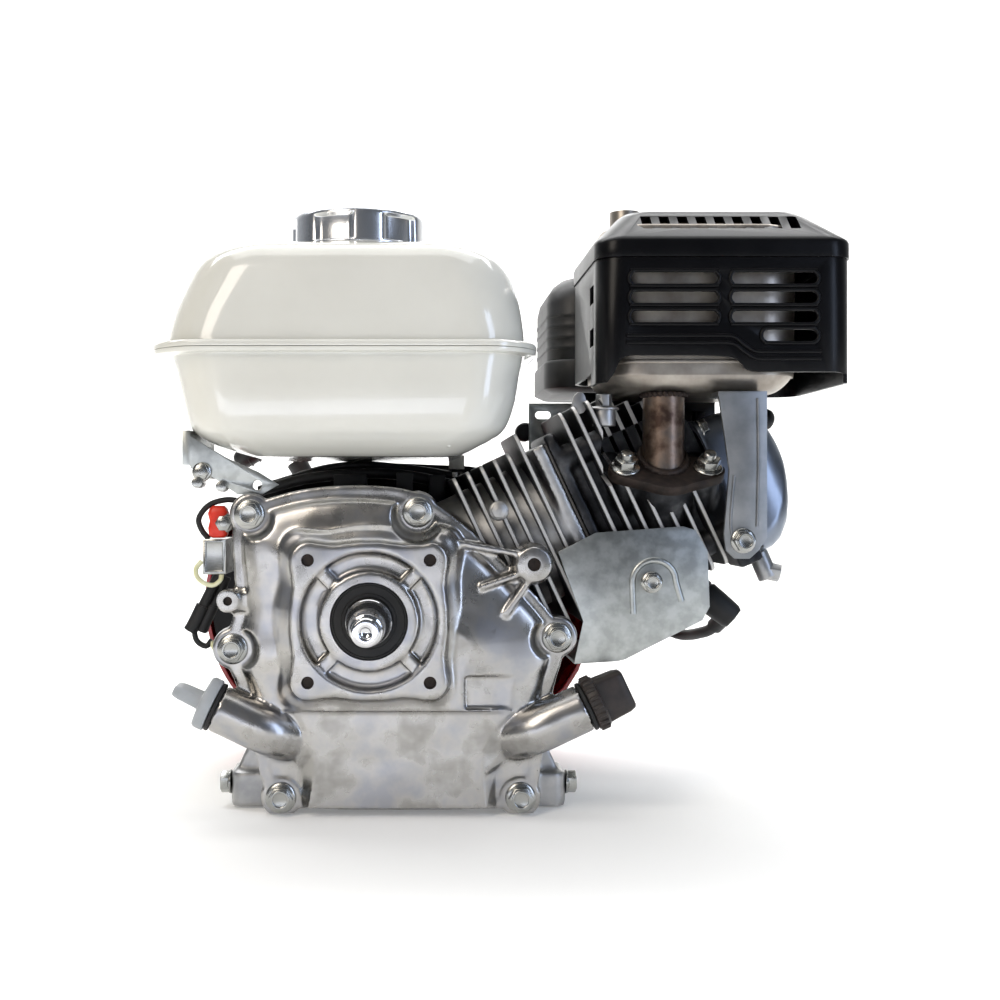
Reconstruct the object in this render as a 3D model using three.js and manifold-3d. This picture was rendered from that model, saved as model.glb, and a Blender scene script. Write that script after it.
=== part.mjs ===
// Small single-cylinder gasoline engine, millimetres, +Z up.
// The origin lies on the base plane, under the crank axis and midway along the base bolt slots.
// The drive end of the shaft points along -Y and the cylinder leans up towards +X.
import * as THREE from 'three';
import { mergeVertices } from 'three/addons/utils/BufferGeometryUtils.js';
import Module from 'manifold-3d';

const wasm = await Module();
wasm.setup();

// Driving dimensions.
const SHAFT_Z = 106;
const TILT = THREE.MathUtils.degToRad(25);
const CYLINDER_Y = -8;
const BORE_R = 34;
const CRANK_THROW = 27;
const PAD_Y = -87;
const PAD_HOLE = 32.5;
const FACE_Y = -60;
const GASKET = 0.6;
const GAP = 0.3;
const COVER_BACK_Y = FACE_Y - GASKET - 2 * GAP;
const COVER_FLANGE_Y = -69;
const CASE_REAR_Y = 58;
const WALL = 6;
const FOOT_H = 19;
const SLOT_X = [-65.5, 96.5];
const SLOT_Y = 37.75;
const SEAL_R = 20.6;
const BEARING_R = 26;
const JOURNAL_R = 12.5;
const DECK_U = 128;
const HEAD_U = [129.8, 211.7];
const ROCKER_U = [212, 257];
const FIN_PITCH = 8.2;
const FIN_T = 2.4;
const CAM_AT = new THREE.Vector2(29.7, SHAFT_Z - 51.44);
const GOVERNOR_AT = new THREE.Vector2(-33, SHAFT_Z - 13);
const TOOTH_PITCH = 3.3;
const FLYWHEEL_R = 78;
const FAN_Y = [62, 127];
const RECOIL_Y = [127.3, 172];
const TANK_SEAM_Z = 253;
const TANK_WALL = 2;
const COVER_BOLTS = [[-65.4, 162.7], [26, 163.8], [101.9, 95.8], [82.1, 8.6], [-48.3, 8.6], [-74.6, 89.5]];
const NECK_TILT = THREE.MathUtils.degToRad(25);
const FACET_SHARE = 0.6;
const CLEAN_EDGE = 0.01;

// Number of sides that a round shape gets: hexagons and small holes keep theirs.
function facets(sides) {
  return sides <= 8 ? sides : Math.max(8, 2 * Math.round(sides * FACET_SHARE / 2));
}

// Solid helpers.
function toSolid(geometry) {
  const bare = geometry.clone();
  bare.deleteAttribute('normal');
  bare.deleteAttribute('uv');
  const merged = mergeVertices(bare, 1e-3);
  const index = merged.index.array;
  const faces = [];
  for (let i = 0; i < index.length; i += 3) {
    const [a, b, c] = [index[i], index[i + 1], index[i + 2]];
    if (a !== b && b !== c && c !== a) faces.push(a, b, c);
  }
  const vertProperties = new Float32Array(merged.attributes.position.array);
  return new wasm.Manifold(new wasm.Mesh({ numProp: 3, vertProperties, triVerts: new Uint32Array(faces) }));
}

function fromSolid(solid) {
  const mesh = solid.simplify(CLEAN_EDGE).getMesh();
  const geometry = new THREE.BufferGeometry();
  geometry.setAttribute('position', new THREE.BufferAttribute(mesh.vertProperties, 3));
  geometry.setIndex(new THREE.BufferAttribute(mesh.triVerts, 1));
  return geometry;
}

function join(...geometries) {
  return fromSolid(geometries.map(toSolid).reduce((a, b) => a.add(b)));
}

function cut(base, ...tools) {
  return fromSolid(tools.map(toSolid).reduce((a, b) => a.subtract(b), toSolid(base)));
}

// Box between two corners.
function block(x0, x1, y0, y1, z0, z1) {
  const box = new THREE.BoxGeometry(x1 - x0, y1 - y0, z1 - z0);
  return box.translate((x0 + x1) / 2, (y0 + y1) / 2, (z0 + z1) / 2);
}

// Turns a geometry whose axis is +Y so that it runs from a point along a direction.
function aim(geometry, from, direction) {
  const up = new THREE.Vector3(0, 1, 0);
  const turn = new THREE.Quaternion().setFromUnitVectors(up, direction.clone().normalize());
  return geometry.applyQuaternion(turn).translate(from.x, from.y, from.z);
}

function rod(radius, from, to, sides = 20) {
  const length = from.distanceTo(to);
  const bar = new THREE.CylinderGeometry(radius, radius, length, facets(sides)).translate(0, length / 2, 0);
  return aim(bar, from, to.clone().sub(from));
}

// Round bar along Y at (x, z).
function rodY(radius, x, z, y0, y1, sides = 20) {
  return rod(radius, new THREE.Vector3(x, y0, z), new THREE.Vector3(x, y1, z), sides);
}

// Solid of revolution: profile of [radius, distance] from a point along a direction.
function turned(profile, from, direction, sides = 32) {
  const points = profile.map(([r, h]) => new THREE.Vector2(r, h));
  return aim(new THREE.LatheGeometry(points, facets(sides)), from, direction);
}

function turnedY(profile, x, z, sides = 32) {
  return turned(profile, new THREE.Vector3(x, 0, z), new THREE.Vector3(0, 1, 0), sides);
}

function outline(points) {
  const shape = new THREE.Shape();
  shape.setFromPoints(points.map(([x, z]) => new THREE.Vector2(x, z)));
  return shape;
}

// Shape drawn in X and Z, as thick as the stretch from y0 to y1.
function slab(shape, y0, y1, curveSegments = 4) {
  const options = { depth: y1 - y0, bevelEnabled: false, curveSegments };
  return new THREE.ExtrudeGeometry(shape, options).rotateX(Math.PI / 2).translate(0, y1, 0);
}

function roundedRect(x0, x1, z0, z1, r) {
  const shape = new THREE.Shape();
  shape.absarc(x1 - r, z1 - r, r, 0, Math.PI / 2);
  shape.absarc(x0 + r, z1 - r, r, Math.PI / 2, Math.PI);
  shape.absarc(x0 + r, z0 + r, r, Math.PI, 1.5 * Math.PI);
  shape.absarc(x1 - r, z0 + r, r, 1.5 * Math.PI, 2 * Math.PI);
  return shape;
}

// Solid through level rounded rectangles [z, x0, x1, y0, y1, corner radius], lowest first.
function loft(levels, corner = 4) {
  const positions = [];
  const index = [];
  const count = 4 * (corner + 1);
  for (const [z, x0, x1, y0, y1, r] of levels) {
    const centres = [[x1 - r, y1 - r], [x0 + r, y1 - r], [x0 + r, y0 + r], [x1 - r, y0 + r]];
    centres.forEach(([cx, cy], quarter) => {
      for (let k = 0; k <= corner; k += 1) {
        const angle = (quarter + k / corner) * Math.PI / 2;
        positions.push(cx + r * Math.cos(angle), cy + r * Math.sin(angle), z);
      }
    });
  }
  for (let level = 0; level + 1 < levels.length; level += 1) {
    for (let k = 0; k < count; k += 1) {
      const a = level * count + k;
      const b = level * count + (k + 1) % count;
      index.push(a, b, b + count, a, b + count, a + count);
    }
  }
  const top = (levels.length - 1) * count;
  for (let k = 1; k + 1 < count; k += 1) {
    index.push(0, k + 1, k);
    index.push(top, top + k, top + k + 1);
  }
  const geometry = new THREE.BufferGeometry();
  geometry.setAttribute('position', new THREE.Float32BufferAttribute(positions, 3));
  geometry.setIndex(index);
  return geometry;
}

// Tube of round section along a smooth curve through points.
function hose(points, radius, steps, sides = 4) {
  const curve = new THREE.CatmullRomCurve3(points.map(([x, y, z]) => new THREE.Vector3(x, y, z)));
  const section = new THREE.Shape();
  section.absarc(0, 0, radius, 0, 2 * Math.PI);
  const options = { steps, extrudePath: curve, bevelEnabled: false, curveSegments: sides };
  return new THREE.ExtrudeGeometry(section, options);
}

// Cylinder frame: x runs along the bore from the crank axis, z square to it, then leaned and lifted.
function leaned(geometry) {
  return geometry.rotateY(-TILT).translate(0, 0, SHAFT_Z);
}

function gearShape(teeth, phase) {
  const points = [];
  const radius = teeth * TOOTH_PITCH / 3;
  for (let k = 0; k < teeth; k += 1) {
    const angle = phase + 2 * Math.PI * k / teeth;
    const step = 2 * Math.PI / teeth;
    for (const [at, r] of [[-0.3, radius - 1.3], [-0.12, radius + 0.7], [0.12, radius + 0.7], [0.3, radius - 1.3]]) {
      points.push([r * Math.cos(angle + at * step), r * Math.sin(angle + at * step)]);
    }
  }
  return outline(points);
}

const group = new THREE.Group();

function part(name, geometry, color, roughness, metalness) {
  const material = new THREE.MeshStandardMaterial({ color, roughness, metalness });
  const mesh = new THREE.Mesh(geometry, material);
  mesh.name = name;
  group.add(mesh);
}

const CAST = ['#b8b5b2', 0.45, 0.9];
const STEEL = ['#8c8f90', 0.4, 0.9];
const BRIGHT = ['#c8ccd0', 0.2, 1];
const DARK = ['#0f0f12', 0.5, 0];
const RUBBER = ['#18181a', 0.8, 0];
const RED = ['#7c0e10', 0.35, 0.1];
const WHITE = ['#e6e6e0', 0.2, 0];

// Outline of the joint between crankcase and side cover, with its bolt lobes.
function caseOutline(inset) {
  const corners = [[-66, 168], [-31, 178], [16, 178], [34, 170], [61, 149], [104, 104], [106, 88], [99, 67],
    [95, 40], [90, 6], [76, 2], [-42, 2], [-56, 6], [-65, 45], [-72, 70], [-79, 84], [-78, 96], [-72, 112], [-76, 160]];
  const centre = [12, 88];
  return outline(corners.map(([x, z]) => {
    const length = Math.hypot(x - centre[0], z - centre[1]);
    const scale = (length - inset) / length;
    return [centre[0] + (x - centre[0]) * scale, centre[1] + (z - centre[1]) * scale];
  }).reverse());
}

function boltLobes(radius, y0, y1) {
  return COVER_BOLTS.map(([x, z]) => rodY(Math.min(radius, z - 0.4), x, z, y0, y1, 16));
}

function crankcase() {
  const barrel = leaned(rod(41, new THREE.Vector3(40, CYLINDER_Y, 0), new THREE.Vector3(DECK_U, CYLINDER_Y, 0), 32));
  const deck = leaned(block(122, DECK_U, -50, 34, -46, 46));
  const fins = [];
  for (let u = 73; u < 120; u += FIN_PITCH) fins.push(leaned(block(u, u + FIN_T, -56, 40, -54, u < 108 ? 50 : 58)));
  const base = block(-78, 109, -55, 55, 0, FOOT_H);
  const body = join(slab(caseOutline(0), FACE_Y, CASE_REAR_Y), ...boltLobes(10, FACE_Y, -40), barrel, deck, ...fins, base);
  const inside = slab(caseOutline(WALL + 2), FACE_Y - 1, CASE_REAR_Y - 12);
  const relief = [[-80, -56], [87, 110]].map(([x0, x1]) => block(x0, x1, -60, 60, 12, FOOT_H + 1));
  const reliefMiddle = relief.map((box) => fromSolid(toSolid(box).intersect(toSolid(block(-90, 120, -24, 24, 0, 60)))));
  const slots = SLOT_X.flatMap((x) => [-SLOT_Y, SLOT_Y].map((y) => block(x - 7, x + 7, y - 4.5, y + 4.5, -1, 60)));
  const bore = leaned(rod(BORE_R, new THREE.Vector3(20, CYLINDER_Y, 0), new THREE.Vector3(140, CYLINDER_Y, 0), 32));
  const bearingSeat = rodY(BEARING_R, 0, SHAFT_Z, 40, 55, 32);
  const shaftHole = rodY(20, 0, SHAFT_Z, 40, 70, 32);
  const camSeat = rodY(8, CAM_AT.x, CAM_AT.y, 40, 53, 20);
  const holes = COVER_BOLTS.map(([x, z]) => rodY(4, x, z, -62, -36, 10));
  return cut(body, inside, bore, bearingSeat, shaftHole, camSeat, ...slots, ...reliefMiddle, ...holes);
}

function sideCover() {
  const flange = slab(caseOutline(0), COVER_FLANGE_Y, COVER_BACK_Y);
  const dome = slab(caseOutline(11), -76, COVER_FLANGE_Y + 1);
  const boss = rodY(40, 0, SHAFT_Z, -82, -70, 36);
  const lobes = [-PAD_HOLE, PAD_HOLE].flatMap((x) => [-PAD_HOLE, PAD_HOLE].map((z) =>
    rodY(9.2, x, SHAFT_Z + z, PAD_Y, -70, 16)));
  const padRing = rodY(41.5, 0, SHAFT_Z, PAD_Y, -74, 40);
  const lug = rodY(9.4, 88.6, 135.8, -79, COVER_FLANGE_Y + 1, 20);
  const ribs = [[52, 146], [58, 128], [76, 110]].map(([x, z]) => {
    const end = new THREE.Vector3(84, -74, 133);
    return rod(2.6, new THREE.Vector3(x, -72, z), end, 6);
  });
  const ear = rodY(6, -77, 115.6, -72, COVER_BACK_Y, 14);
  const earArm = block(-78, -66, -71, COVER_BACK_Y, 111, 120);
  const necks = neckDirections().map(([at, direction]) => {
    const start = at.clone().addScaledVector(direction, -34);
    return rod(12.8, start, at, 20);
  });
  const body = join(flange, dome, boss, padRing, ...lobes, ...boltLobes(10.5, COVER_FLANGE_Y, COVER_BACK_Y),
    lug, ...ribs, ear, earArm, ...necks);
  const pocket = slab(caseOutline(WALL + 9), -71, COVER_BACK_Y + 1);
  const hollow = cut(pocket, rodY(31, 0, SHAFT_Z, -80, -64, 32), rodY(9.5, CAM_AT.x, CAM_AT.y, -80, -58, 16));
  const groove = cut(rodY(36.7, 0, SHAFT_Z, PAD_Y - 1, PAD_Y + 7, 40), rodY(26.2, 0, SHAFT_Z, PAD_Y - 2, PAD_Y + 8, 32),
    ...[1, -1].map((s) => rod(3.2, new THREE.Vector3(-40, PAD_Y + 3, SHAFT_Z - s * 40),
      new THREE.Vector3(40, PAD_Y + 3, SHAFT_Z + s * 40), 4)));
  const padHoles = [-PAD_HOLE, PAD_HOLE].flatMap((x) => [-PAD_HOLE, PAD_HOLE].map((z) =>
    rodY(3.4, x, SHAFT_Z + z, PAD_Y - 1, PAD_Y + 16, 12)));
  const boltHoles = COVER_BOLTS.flatMap(([x, z]) => [rodY(4, x, z, -75, -58, 10),
    rodY(9.6, x, z, -80, COVER_FLANGE_Y, 18)]);
  const neckHoles = neckDirections().map(([at, direction]) => {
    const start = at.clone().addScaledVector(direction, -30);
    return rod(9, start, at.clone().addScaledVector(direction, 1), 16);
  });
  const tools = [hollow, groove, ...padHoles, ...boltHoles, ...neckHoles, rodY(SEAL_R, 0, SHAFT_Z, -90, -79.2, 32),
    rodY(BEARING_R, 0, SHAFT_Z, -79, -60, 32), rodY(17, 0, SHAFT_Z, -90, -60, 24),
    rodY(3.6, 88.6, 135.8, -82, -58, 14), rodY(2.4, -77, 115.6, -80, -58, 10),
    rodY(8, CAM_AT.x, CAM_AT.y, -68, -58, 20)];
  return cut(body, ...tools);
}

function neckDirections() {
  const left = new THREE.Vector3(-Math.cos(NECK_TILT), 0, Math.sin(NECK_TILT));
  const right = new THREE.Vector3(Math.cos(NECK_TILT), 0, Math.sin(NECK_TILT));
  return [[new THREE.Vector3(-81.6, -74, 58), left], [new THREE.Vector3(115.9, -74, 58.3), right]];
}

function flangedBolt(x, z, seatY, head = 6, washer = 8.4, length = 24) {
  const hex = rodY(head, x, z, seatY - 6.5, seatY - 1, 6);
  return join(hex, rodY(washer, x, z, seatY - 2, seatY - GAP, 18), rodY(3.7, x, z, seatY - 1, seatY + length, 8));
}

function cylinderHead() {
  const [u0, u1] = HEAD_U;
  const core = leaned(block(u0, u1 - 2, -44, 30, -44, 34));
  const joint = leaned(block(u0, u0 + 6, -50, 34, -50, 50));
  const seat = leaned(block(u1 - 6, u1, -42, 34, -66, 24));
  const fins = [];
  for (let u = u0 + 12; u < u1 - 16; u += FIN_PITCH) {
    const top = Math.min(58, (227 - SHAFT_Z - u * Math.sin(TILT)) / Math.cos(TILT));
    fins.push(leaned(block(u, u + FIN_T, -56, 40, -58, top)));
  }
  const port = exhaustPort();
  const exhaust = rod(17, port.at.clone().addScaledVector(port.out, -30), port.at, 16);
  const lugs = [-22, 22].map((x) => {
    const centre = port.at.clone().add(new THREE.Vector3(x, 0, 0));
    return rod(8, centre.clone().addScaledVector(port.out, -24), centre, 12);
  });
  const intake = rodY(16, 168, 185, 20, 43, 16);
  const strapBoss = leaned(block(196, 210, -64, -36, -66, -36));
  const plugBoss = rod(11, plugSeat().clone().addScaledVector(plugOut(), -16), plugSeat(), 16);
  const body = join(core, joint, seat, ...fins, exhaust, ...lugs, intake, strapBoss, plugBoss);
  const chamber = leaned(rod(28, new THREE.Vector3(u0 - 1, CYLINDER_Y, 0), new THREE.Vector3(u0 + 8, CYLINDER_Y, 0), 24));
  const exhaustHole = rod(11, port.at.clone().addScaledVector(port.out, -26), port.at.clone().addScaledVector(port.out, 2), 16);
  const intakeHole = rodY(10, 168, 185, 24, 50, 16);
  const plugHole = rod(7, plugSeat().clone().addScaledVector(plugOut(), -18), plugSeat().clone().addScaledVector(plugOut(), 3), 12);
  const rockerPit = leaned(block(u1 - 16, u1 + 1, -36, 28, -40, 18));
  const beyond = leaned(block(u1, u1 + 40, -90, 60, -90, 90));
  return cut(body, chamber, exhaustHole, intakeHole, plugHole, rockerPit, beyond, overExhaust());
}

function exhaustPort() {
  const rise = THREE.MathUtils.degToRad(55);
  return { at: new THREE.Vector3(165, -49, 183), out: new THREE.Vector3(0, -Math.cos(rise), Math.sin(rise)) };
}

// Room above the exhaust port for the flange and the pipe.
function overExhaust() {
  const port = exhaustPort();
  const along = new THREE.Vector2(port.out.z, -port.out.y);
  const start = port.at.clone().addScaledVector(port.out, 0.1);
  const edge = (distance) => [start.y + along.x * distance, start.z + along.y * distance];
  const shape = outline([edge(-30), edge(26), [edge(26)[0], 250], [edge(-30)[0], 250]]);
  const basis = new THREE.Matrix4().makeBasis(new THREE.Vector3(0, 1, 0), new THREE.Vector3(0, 0, 1),
    new THREE.Vector3(1, 0, 0));
  const wedge = new THREE.ExtrudeGeometry(shape, { depth: 72, bevelEnabled: false });
  return wedge.applyMatrix4(basis).translate(129, 0, 0);
}

function plugOut() {
  return new THREE.Vector3(0.75, -0.2, -0.63).normalize();
}

function plugSeat() {
  return new THREE.Vector3(190, 12, 122);
}

function rockerCover() {
  const [u0, u1] = ROCKER_U;
  const levels = (grow) => [[u0, -68 + grow, 22 - grow, -40 + grow, 34 - grow, 12],
    [u0 + 24, -68 + grow, 22 - grow, -40 + grow, 34 - grow, 12],
    [u0 + 38, -58 + grow, 18 - grow, -37 + grow, 31 - grow, 12],
    [u1 - grow, -44 + grow, 14 - grow, -30 + grow, 24 - grow, 10]];
  const stand = (geometry) => leaned(geometry.rotateY(Math.PI / 2).scale(1, 1, -1));
  const flip = (geometry) => {
    const index = geometry.index.array;
    for (let i = 0; i < index.length; i += 3) [index[i], index[i + 1]] = [index[i + 1], index[i]];
    return geometry;
  };
  const outside = flip(stand(loft(levels(0))));
  const inner = levels(3);
  inner[0][0] -= 1;
  const spout = rod(5.5, new THREE.Vector3(224, 10, 211), new THREE.Vector3(235, 10, 216), 12);
  const spoutHole = rod(3.5, new THREE.Vector3(206, 10, 202.8), new THREE.Vector3(237.2, 10, 217), 10);
  return cut(join(outside, spout), flip(stand(loft(inner))), spoutHole);
}

// Crankshaft with its tapered drive end, webs, pin and timing gear.
function crankshaft() {
  const profile = [[0, -145], [5.5, -145], [7.3, -143], [7.3, -135], [8.2, -134], [12, -94], [JOURNAL_R, -92],
    [JOURNAL_R, -50], [16, -50], [16, -42], [JOURNAL_R, -42], [JOURNAL_R, -30]].concat([[0, -30]]);
  const rear = [[0, 14], [16, 14], [16, 38], [JOURNAL_R, 38], [JOURNAL_R, 60], [9, 98], [6, 98], [6, 122], [0, 122]];
  const pin = new THREE.Vector2(CRANK_THROW * Math.cos(TILT), SHAFT_Z + CRANK_THROW * Math.sin(TILT));
  const pieces = [turnedY(profile, 0, SHAFT_Z, 24), turnedY(rear, 0, SHAFT_Z, 24)];
  for (const [y0, y1] of [[-31, -19], [3, 15]]) {
    pieces.push(rodY(17, pin.x, pin.y, y0, y1, 20));
    const web = new THREE.Shape();
    web.absarc(0, 0, 44, TILT + 0.62 * Math.PI, TILT + 1.38 * Math.PI);
    web.lineTo(pin.x + 12 * Math.cos(TILT - 1.57), pin.y - SHAFT_Z + 12 * Math.sin(TILT - 1.57));
    web.lineTo(pin.x + 12 * Math.cos(TILT + 1.57), pin.y - SHAFT_Z + 12 * Math.sin(TILT + 1.57));
    pieces.push(slab(web, y0, y1, 10).translate(0, 0, SHAFT_Z));
  }
  pieces.push(rodY(13, pin.x, pin.y, -20, 4, 20));
  pieces.push(slab(gearShape(18, 0), -42, -36).translate(0, 0, SHAFT_Z));
  return cut(join(...pieces), rodY(3, 0, SHAFT_Z, -146, -134, 12));
}

// Angle of the camshaft as seen from the crank axis.
const CAM_ANGLE = Math.atan2(CAM_AT.y - SHAFT_Z, CAM_AT.x);

function camshaft() {
  const step = 2 * Math.PI / 36;
  const crankPhase = CAM_ANGLE / (2 * Math.PI / 18);
  const offset = (crankPhase - Math.round(crankPhase)) * (2 * Math.PI / 18);
  const phase = CAM_ANGLE + Math.PI + step / 2 + offset * 0.5;
  const gear = slab(gearShape(36, phase), -42, -36).translate(CAM_AT.x, 0, CAM_AT.y);
  const lobes = [[-12, -4, 0.4], [4, 12, 2.4]].map(([y0, y1, angle]) =>
    rodY(8, CAM_AT.x + 3.2 * Math.cos(angle), CAM_AT.y + 3.2 * Math.sin(angle), y0, y1, 16));
  return join(rodY(7, CAM_AT.x, CAM_AT.y, -67, 52, 20), gear, ...lobes);
}

function governorGear() {
  const bore = rodY(3.3, GOVERNOR_AT.x, GOVERNOR_AT.y, -60, -20, 12);
  const gear = rodY(13.4, GOVERNOR_AT.x, GOVERNOR_AT.y, -43, -36, 24);
  const hub = rodY(9, GOVERNOR_AT.x, GOVERNOR_AT.y, -52, -42, 16);
  return cut(join(gear, hub), bore);
}

function piston() {
  const crown = leaned(rod(33.6, new THREE.Vector3(92, CYLINDER_Y, 0), new THREE.Vector3(127, CYLINDER_Y, 0), 32));
  const hollow = leaned(rod(28, new THREE.Vector3(90, CYLINDER_Y, 0), new THREE.Vector3(120, CYLINDER_Y, 0), 20));
  return cut(crown, hollow);
}

function connectingRod() {
  const pinU = 110;
  const small = leaned(block(pinU - 7, pinU + 7, CYLINDER_Y - 9, CYLINDER_Y + 9, -9, 9));
  const shank = leaned(block(52, pinU, CYLINDER_Y - 4, CYLINDER_Y + 4, -7, 7));
  return join(small, shank);
}

function bigEnd() {
  const centre = new THREE.Vector2(CRANK_THROW * Math.cos(TILT), SHAFT_Z + CRANK_THROW * Math.sin(TILT));
  return cut(rodY(19.5, centre.x, centre.y, CYLINDER_Y - 9, CYLINDER_Y + 9, 24),
    rodY(13.4, centre.x, centre.y, CYLINDER_Y - 12, CYLINDER_Y + 12, 24));
}

function flywheel() {
  const profile = [[13.4, 64], [22, 64], [22, 76], [FLYWHEEL_R - 12, 76], [FLYWHEEL_R, 74], [FLYWHEEL_R, 98],
    [22, 98], [13.4, 97], [13.4, 64]];
  const blades = [];
  for (let k = 0; k < 12; k += 1) {
    const blade = block(38, FLYWHEEL_R - 3, 96, 114, -1.5, 1.5).rotateY(k * Math.PI / 6);
    blades.push(blade.translate(0, 0, SHAFT_Z));
  }
  return join(turnedY(profile, 0, SHAFT_Z, 40), ...blades);
}

// Scroll-shaped outline of the fan cover.
function fanOutline(inset) {
  const points = [];
  const radii = [[90, 88], [115, 94], [140, 103], [165, 110], [190, 111], [215, 109], [240, 104], [265, 100], [285, 102]];
  for (const [angle, radius] of radii) {
    const a = THREE.MathUtils.degToRad(angle);
    points.push([(radius - inset) * Math.cos(a), SHAFT_Z + (radius - inset) * Math.sin(a)]);
  }
  points.push([96 - inset * 0.5, 22 + inset], [140 - inset, 62 + inset * 0.6], [140 - inset, 150 - inset * 0.4],
    [96 - inset * 0.5, 190 - inset]);
  return outline(points);
}

function fanCover() {
  const shell = slab(fanOutline(0), FAN_Y[0], FAN_Y[1]);
  const inside = slab(fanOutline(2.5), FAN_Y[0] - 1, FAN_Y[1] - 2.5);
  return cut(shell, inside, rodY(66, 0, SHAFT_Z, FAN_Y[1] - 5, FAN_Y[1] + 5, 36));
}

function recoilCase() {
  const [y0, y1] = RECOIL_Y;
  const profile = [[70, y0], [84, y0], [84, y0 + 3], [80, y0 + 6], [76, y1 - 6], [68, y1], [0, y1], [0, y1 - 2.5],
    [66, y1 - 2.5], [73, y1 - 8], [77, y0 + 4], [70, y0 + 3], [70, y0]];
  const slots = [];
  for (let k = 0; k < 14; k += 1) {
    slots.push(block(48, 62, y1 - 6, y1 + 2, -3.5, 3.5).rotateY(k * Math.PI / 7).translate(0, 0, SHAFT_Z));
  }
  const at = handleSeat();
  const eyelet = rod(6, at.clone().addScaledVector(pullOut(), -40), at.clone().addScaledVector(pullOut(), -6.5), 16);
  const eye = rod(3.2, at.clone().addScaledVector(pullOut(), -44), at, 12);
  const post = rodY(5, 0, SHAFT_Z, y1 - 20, y1 - 1, 14);
  return cut(join(turnedY(profile, 0, SHAFT_Z, 44), eyelet, post), ...slots, eye,
    fromSolid(toSolid(rodY(72, 0, SHAFT_Z, y0 - 5, y1 - 10, 32)).subtract(toSolid(rodY(5, 0, SHAFT_Z, 120, 180, 14)))));
}

function pullOut() {
  return new THREE.Vector3(-0.5, 0, Math.sqrt(0.75));
}

function handleSeat() {
  return new THREE.Vector3(-62, 148, 204);
}

function starterReel() {
  const y1 = RECOIL_Y[1] - 6;
  const profile = [[5.4, y1 - 22], [50, y1 - 22], [50, y1 - 19], [40, y1 - 17], [40, y1 - 11], [50, y1 - 9], [50, y1 - 6],
    [5.4, y1 - 6], [5.4, y1 - 22]];
  return turnedY(profile, 0, SHAFT_Z, 32);
}

function starterHandle() {
  const at = handleSeat();
  const out = pullOut();
  const across = new THREE.Vector3(-out.z, 0, out.x);
  const bar = rod(8.5, at.clone().addScaledVector(out, 14).addScaledVector(across, -38),
    at.clone().addScaledVector(out, 14).addScaledVector(across, 38), 16);
  return join(bar, rod(7.5, at.clone(), at.clone().addScaledVector(out, 14), 14));
}

// Fuel tank: two pressed halves that meet at a seam flange.
function tankLower() {
  const z = TANK_SEAM_Z;
  const levels = [[195, -72, 55, -56, 52, 16], [197, -82, 65, -64, 57, 20], [202, -91, 72, -70, 62, 24],
    [213, -97, 78, -74, 67, 28], [z - 1, -103, 85, -77, 71, 30]];
  const rim = loft([[z - 3, -121, 92.5, -82, 78, 32], [z - GAP / 2, -121, 92.5, -82, 78, 32]]);
  const inside = levels.map(([h, x0, x1, y0, y1, r]) => [h + TANK_WALL, x0 + TANK_WALL, x1 - TANK_WALL,
    y0 + TANK_WALL, y1 - TANK_WALL, r - TANK_WALL]);
  inside[inside.length - 1][0] = z + 1;
  const outlet = rodZ(5, 52, 46, 190, 206);
  return cut(join(loft(levels), rim, outlet), loft(inside), rodZ(3, 52, 46, 180, 210));
}

function rodZ(radius, x, y, z0, z1, sides = 16) {
  return rod(radius, new THREE.Vector3(x, y, z0), new THREE.Vector3(x, y, z1), sides);
}

const CAP_AT = [-9, 8];
const SWITCH_AT = [-89.6, 69.7];

function tankUpper() {
  const z = TANK_SEAM_Z + GAP / 2;
  const levels = [[z, -111, 85.5, -78, 72, 30], [264, -109, 84, -77, 71, 32], [290, -102, 74, -70, 65, 36],
    [304, -94, 63, -61, 58, 34], [311, -84, 52, -51, 49, 28], [314.5, -66, 36, -36, 34, 22]];
  const rim = loft([[z, -121, 92.5, -82, 78, 32], [z + 3, -121, 92.5, -82, 78, 32]]);
  const inside = levels.map(([h, x0, x1, y0, y1, r]) => [h - TANK_WALL, x0 + TANK_WALL, x1 - TANK_WALL,
    y0 + TANK_WALL, y1 - TANK_WALL, r - TANK_WALL]);
  const neck = rodZ(30, ...CAP_AT, 310, 322, 28);
  return cut(join(loft(levels), rim, neck), loft(inside), rodZ(27, ...CAP_AT, 300, 330, 28));
}

function fuelCap() {
  const lobes = 8;
  const shape = new THREE.Shape();
  const points = [];
  for (let k = 0; k < lobes * 4; k += 1) {
    const angle = 2 * Math.PI * (k + 0.5) / (lobes * 4);
    const radius = 39.5 + 2.2 * Math.tanh(3 * Math.cos(lobes * angle));
    points.push(new THREE.Vector2(radius * Math.cos(angle), radius * Math.sin(angle)));
  }
  shape.setFromPoints(points);
  const [x, y] = CAP_AT;
  const rim = new THREE.ExtrudeGeometry(shape, { depth: 18, bevelEnabled: false }).translate(x, y, 319.5);
  const top = new THREE.CylinderGeometry(34, 39, 4, 24).rotateX(Math.PI / 2).translate(x, y, 338.5);
  return cut(join(rim, top), rodZ(32, x, y, 318, 333, 28));
}

function fuelCapGasket() {
  return cut(rodZ(30.8, ...CAP_AT, 324, 326.5, 28), rodZ(24, ...CAP_AT, 320, 330, 24));
}

function tankBracket() {
  const plate = outline([[-100, 206], [-100, 189.7], [-87, 183], [-73.5, 173.6], [-60, 173.6], [-50.8, 179],
    [-62, 186], [-80, 194]].reverse());
  const shelf = slab(outline([[-104, 190], [-99.6, 190], [-99.6, 209], [-104, 209]]), -58, 30);
  const arm = slab(plate, -58, -52);
  return join(arm, shelf, block(-100, -84, -53, 30, 188, 192));
}

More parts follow.
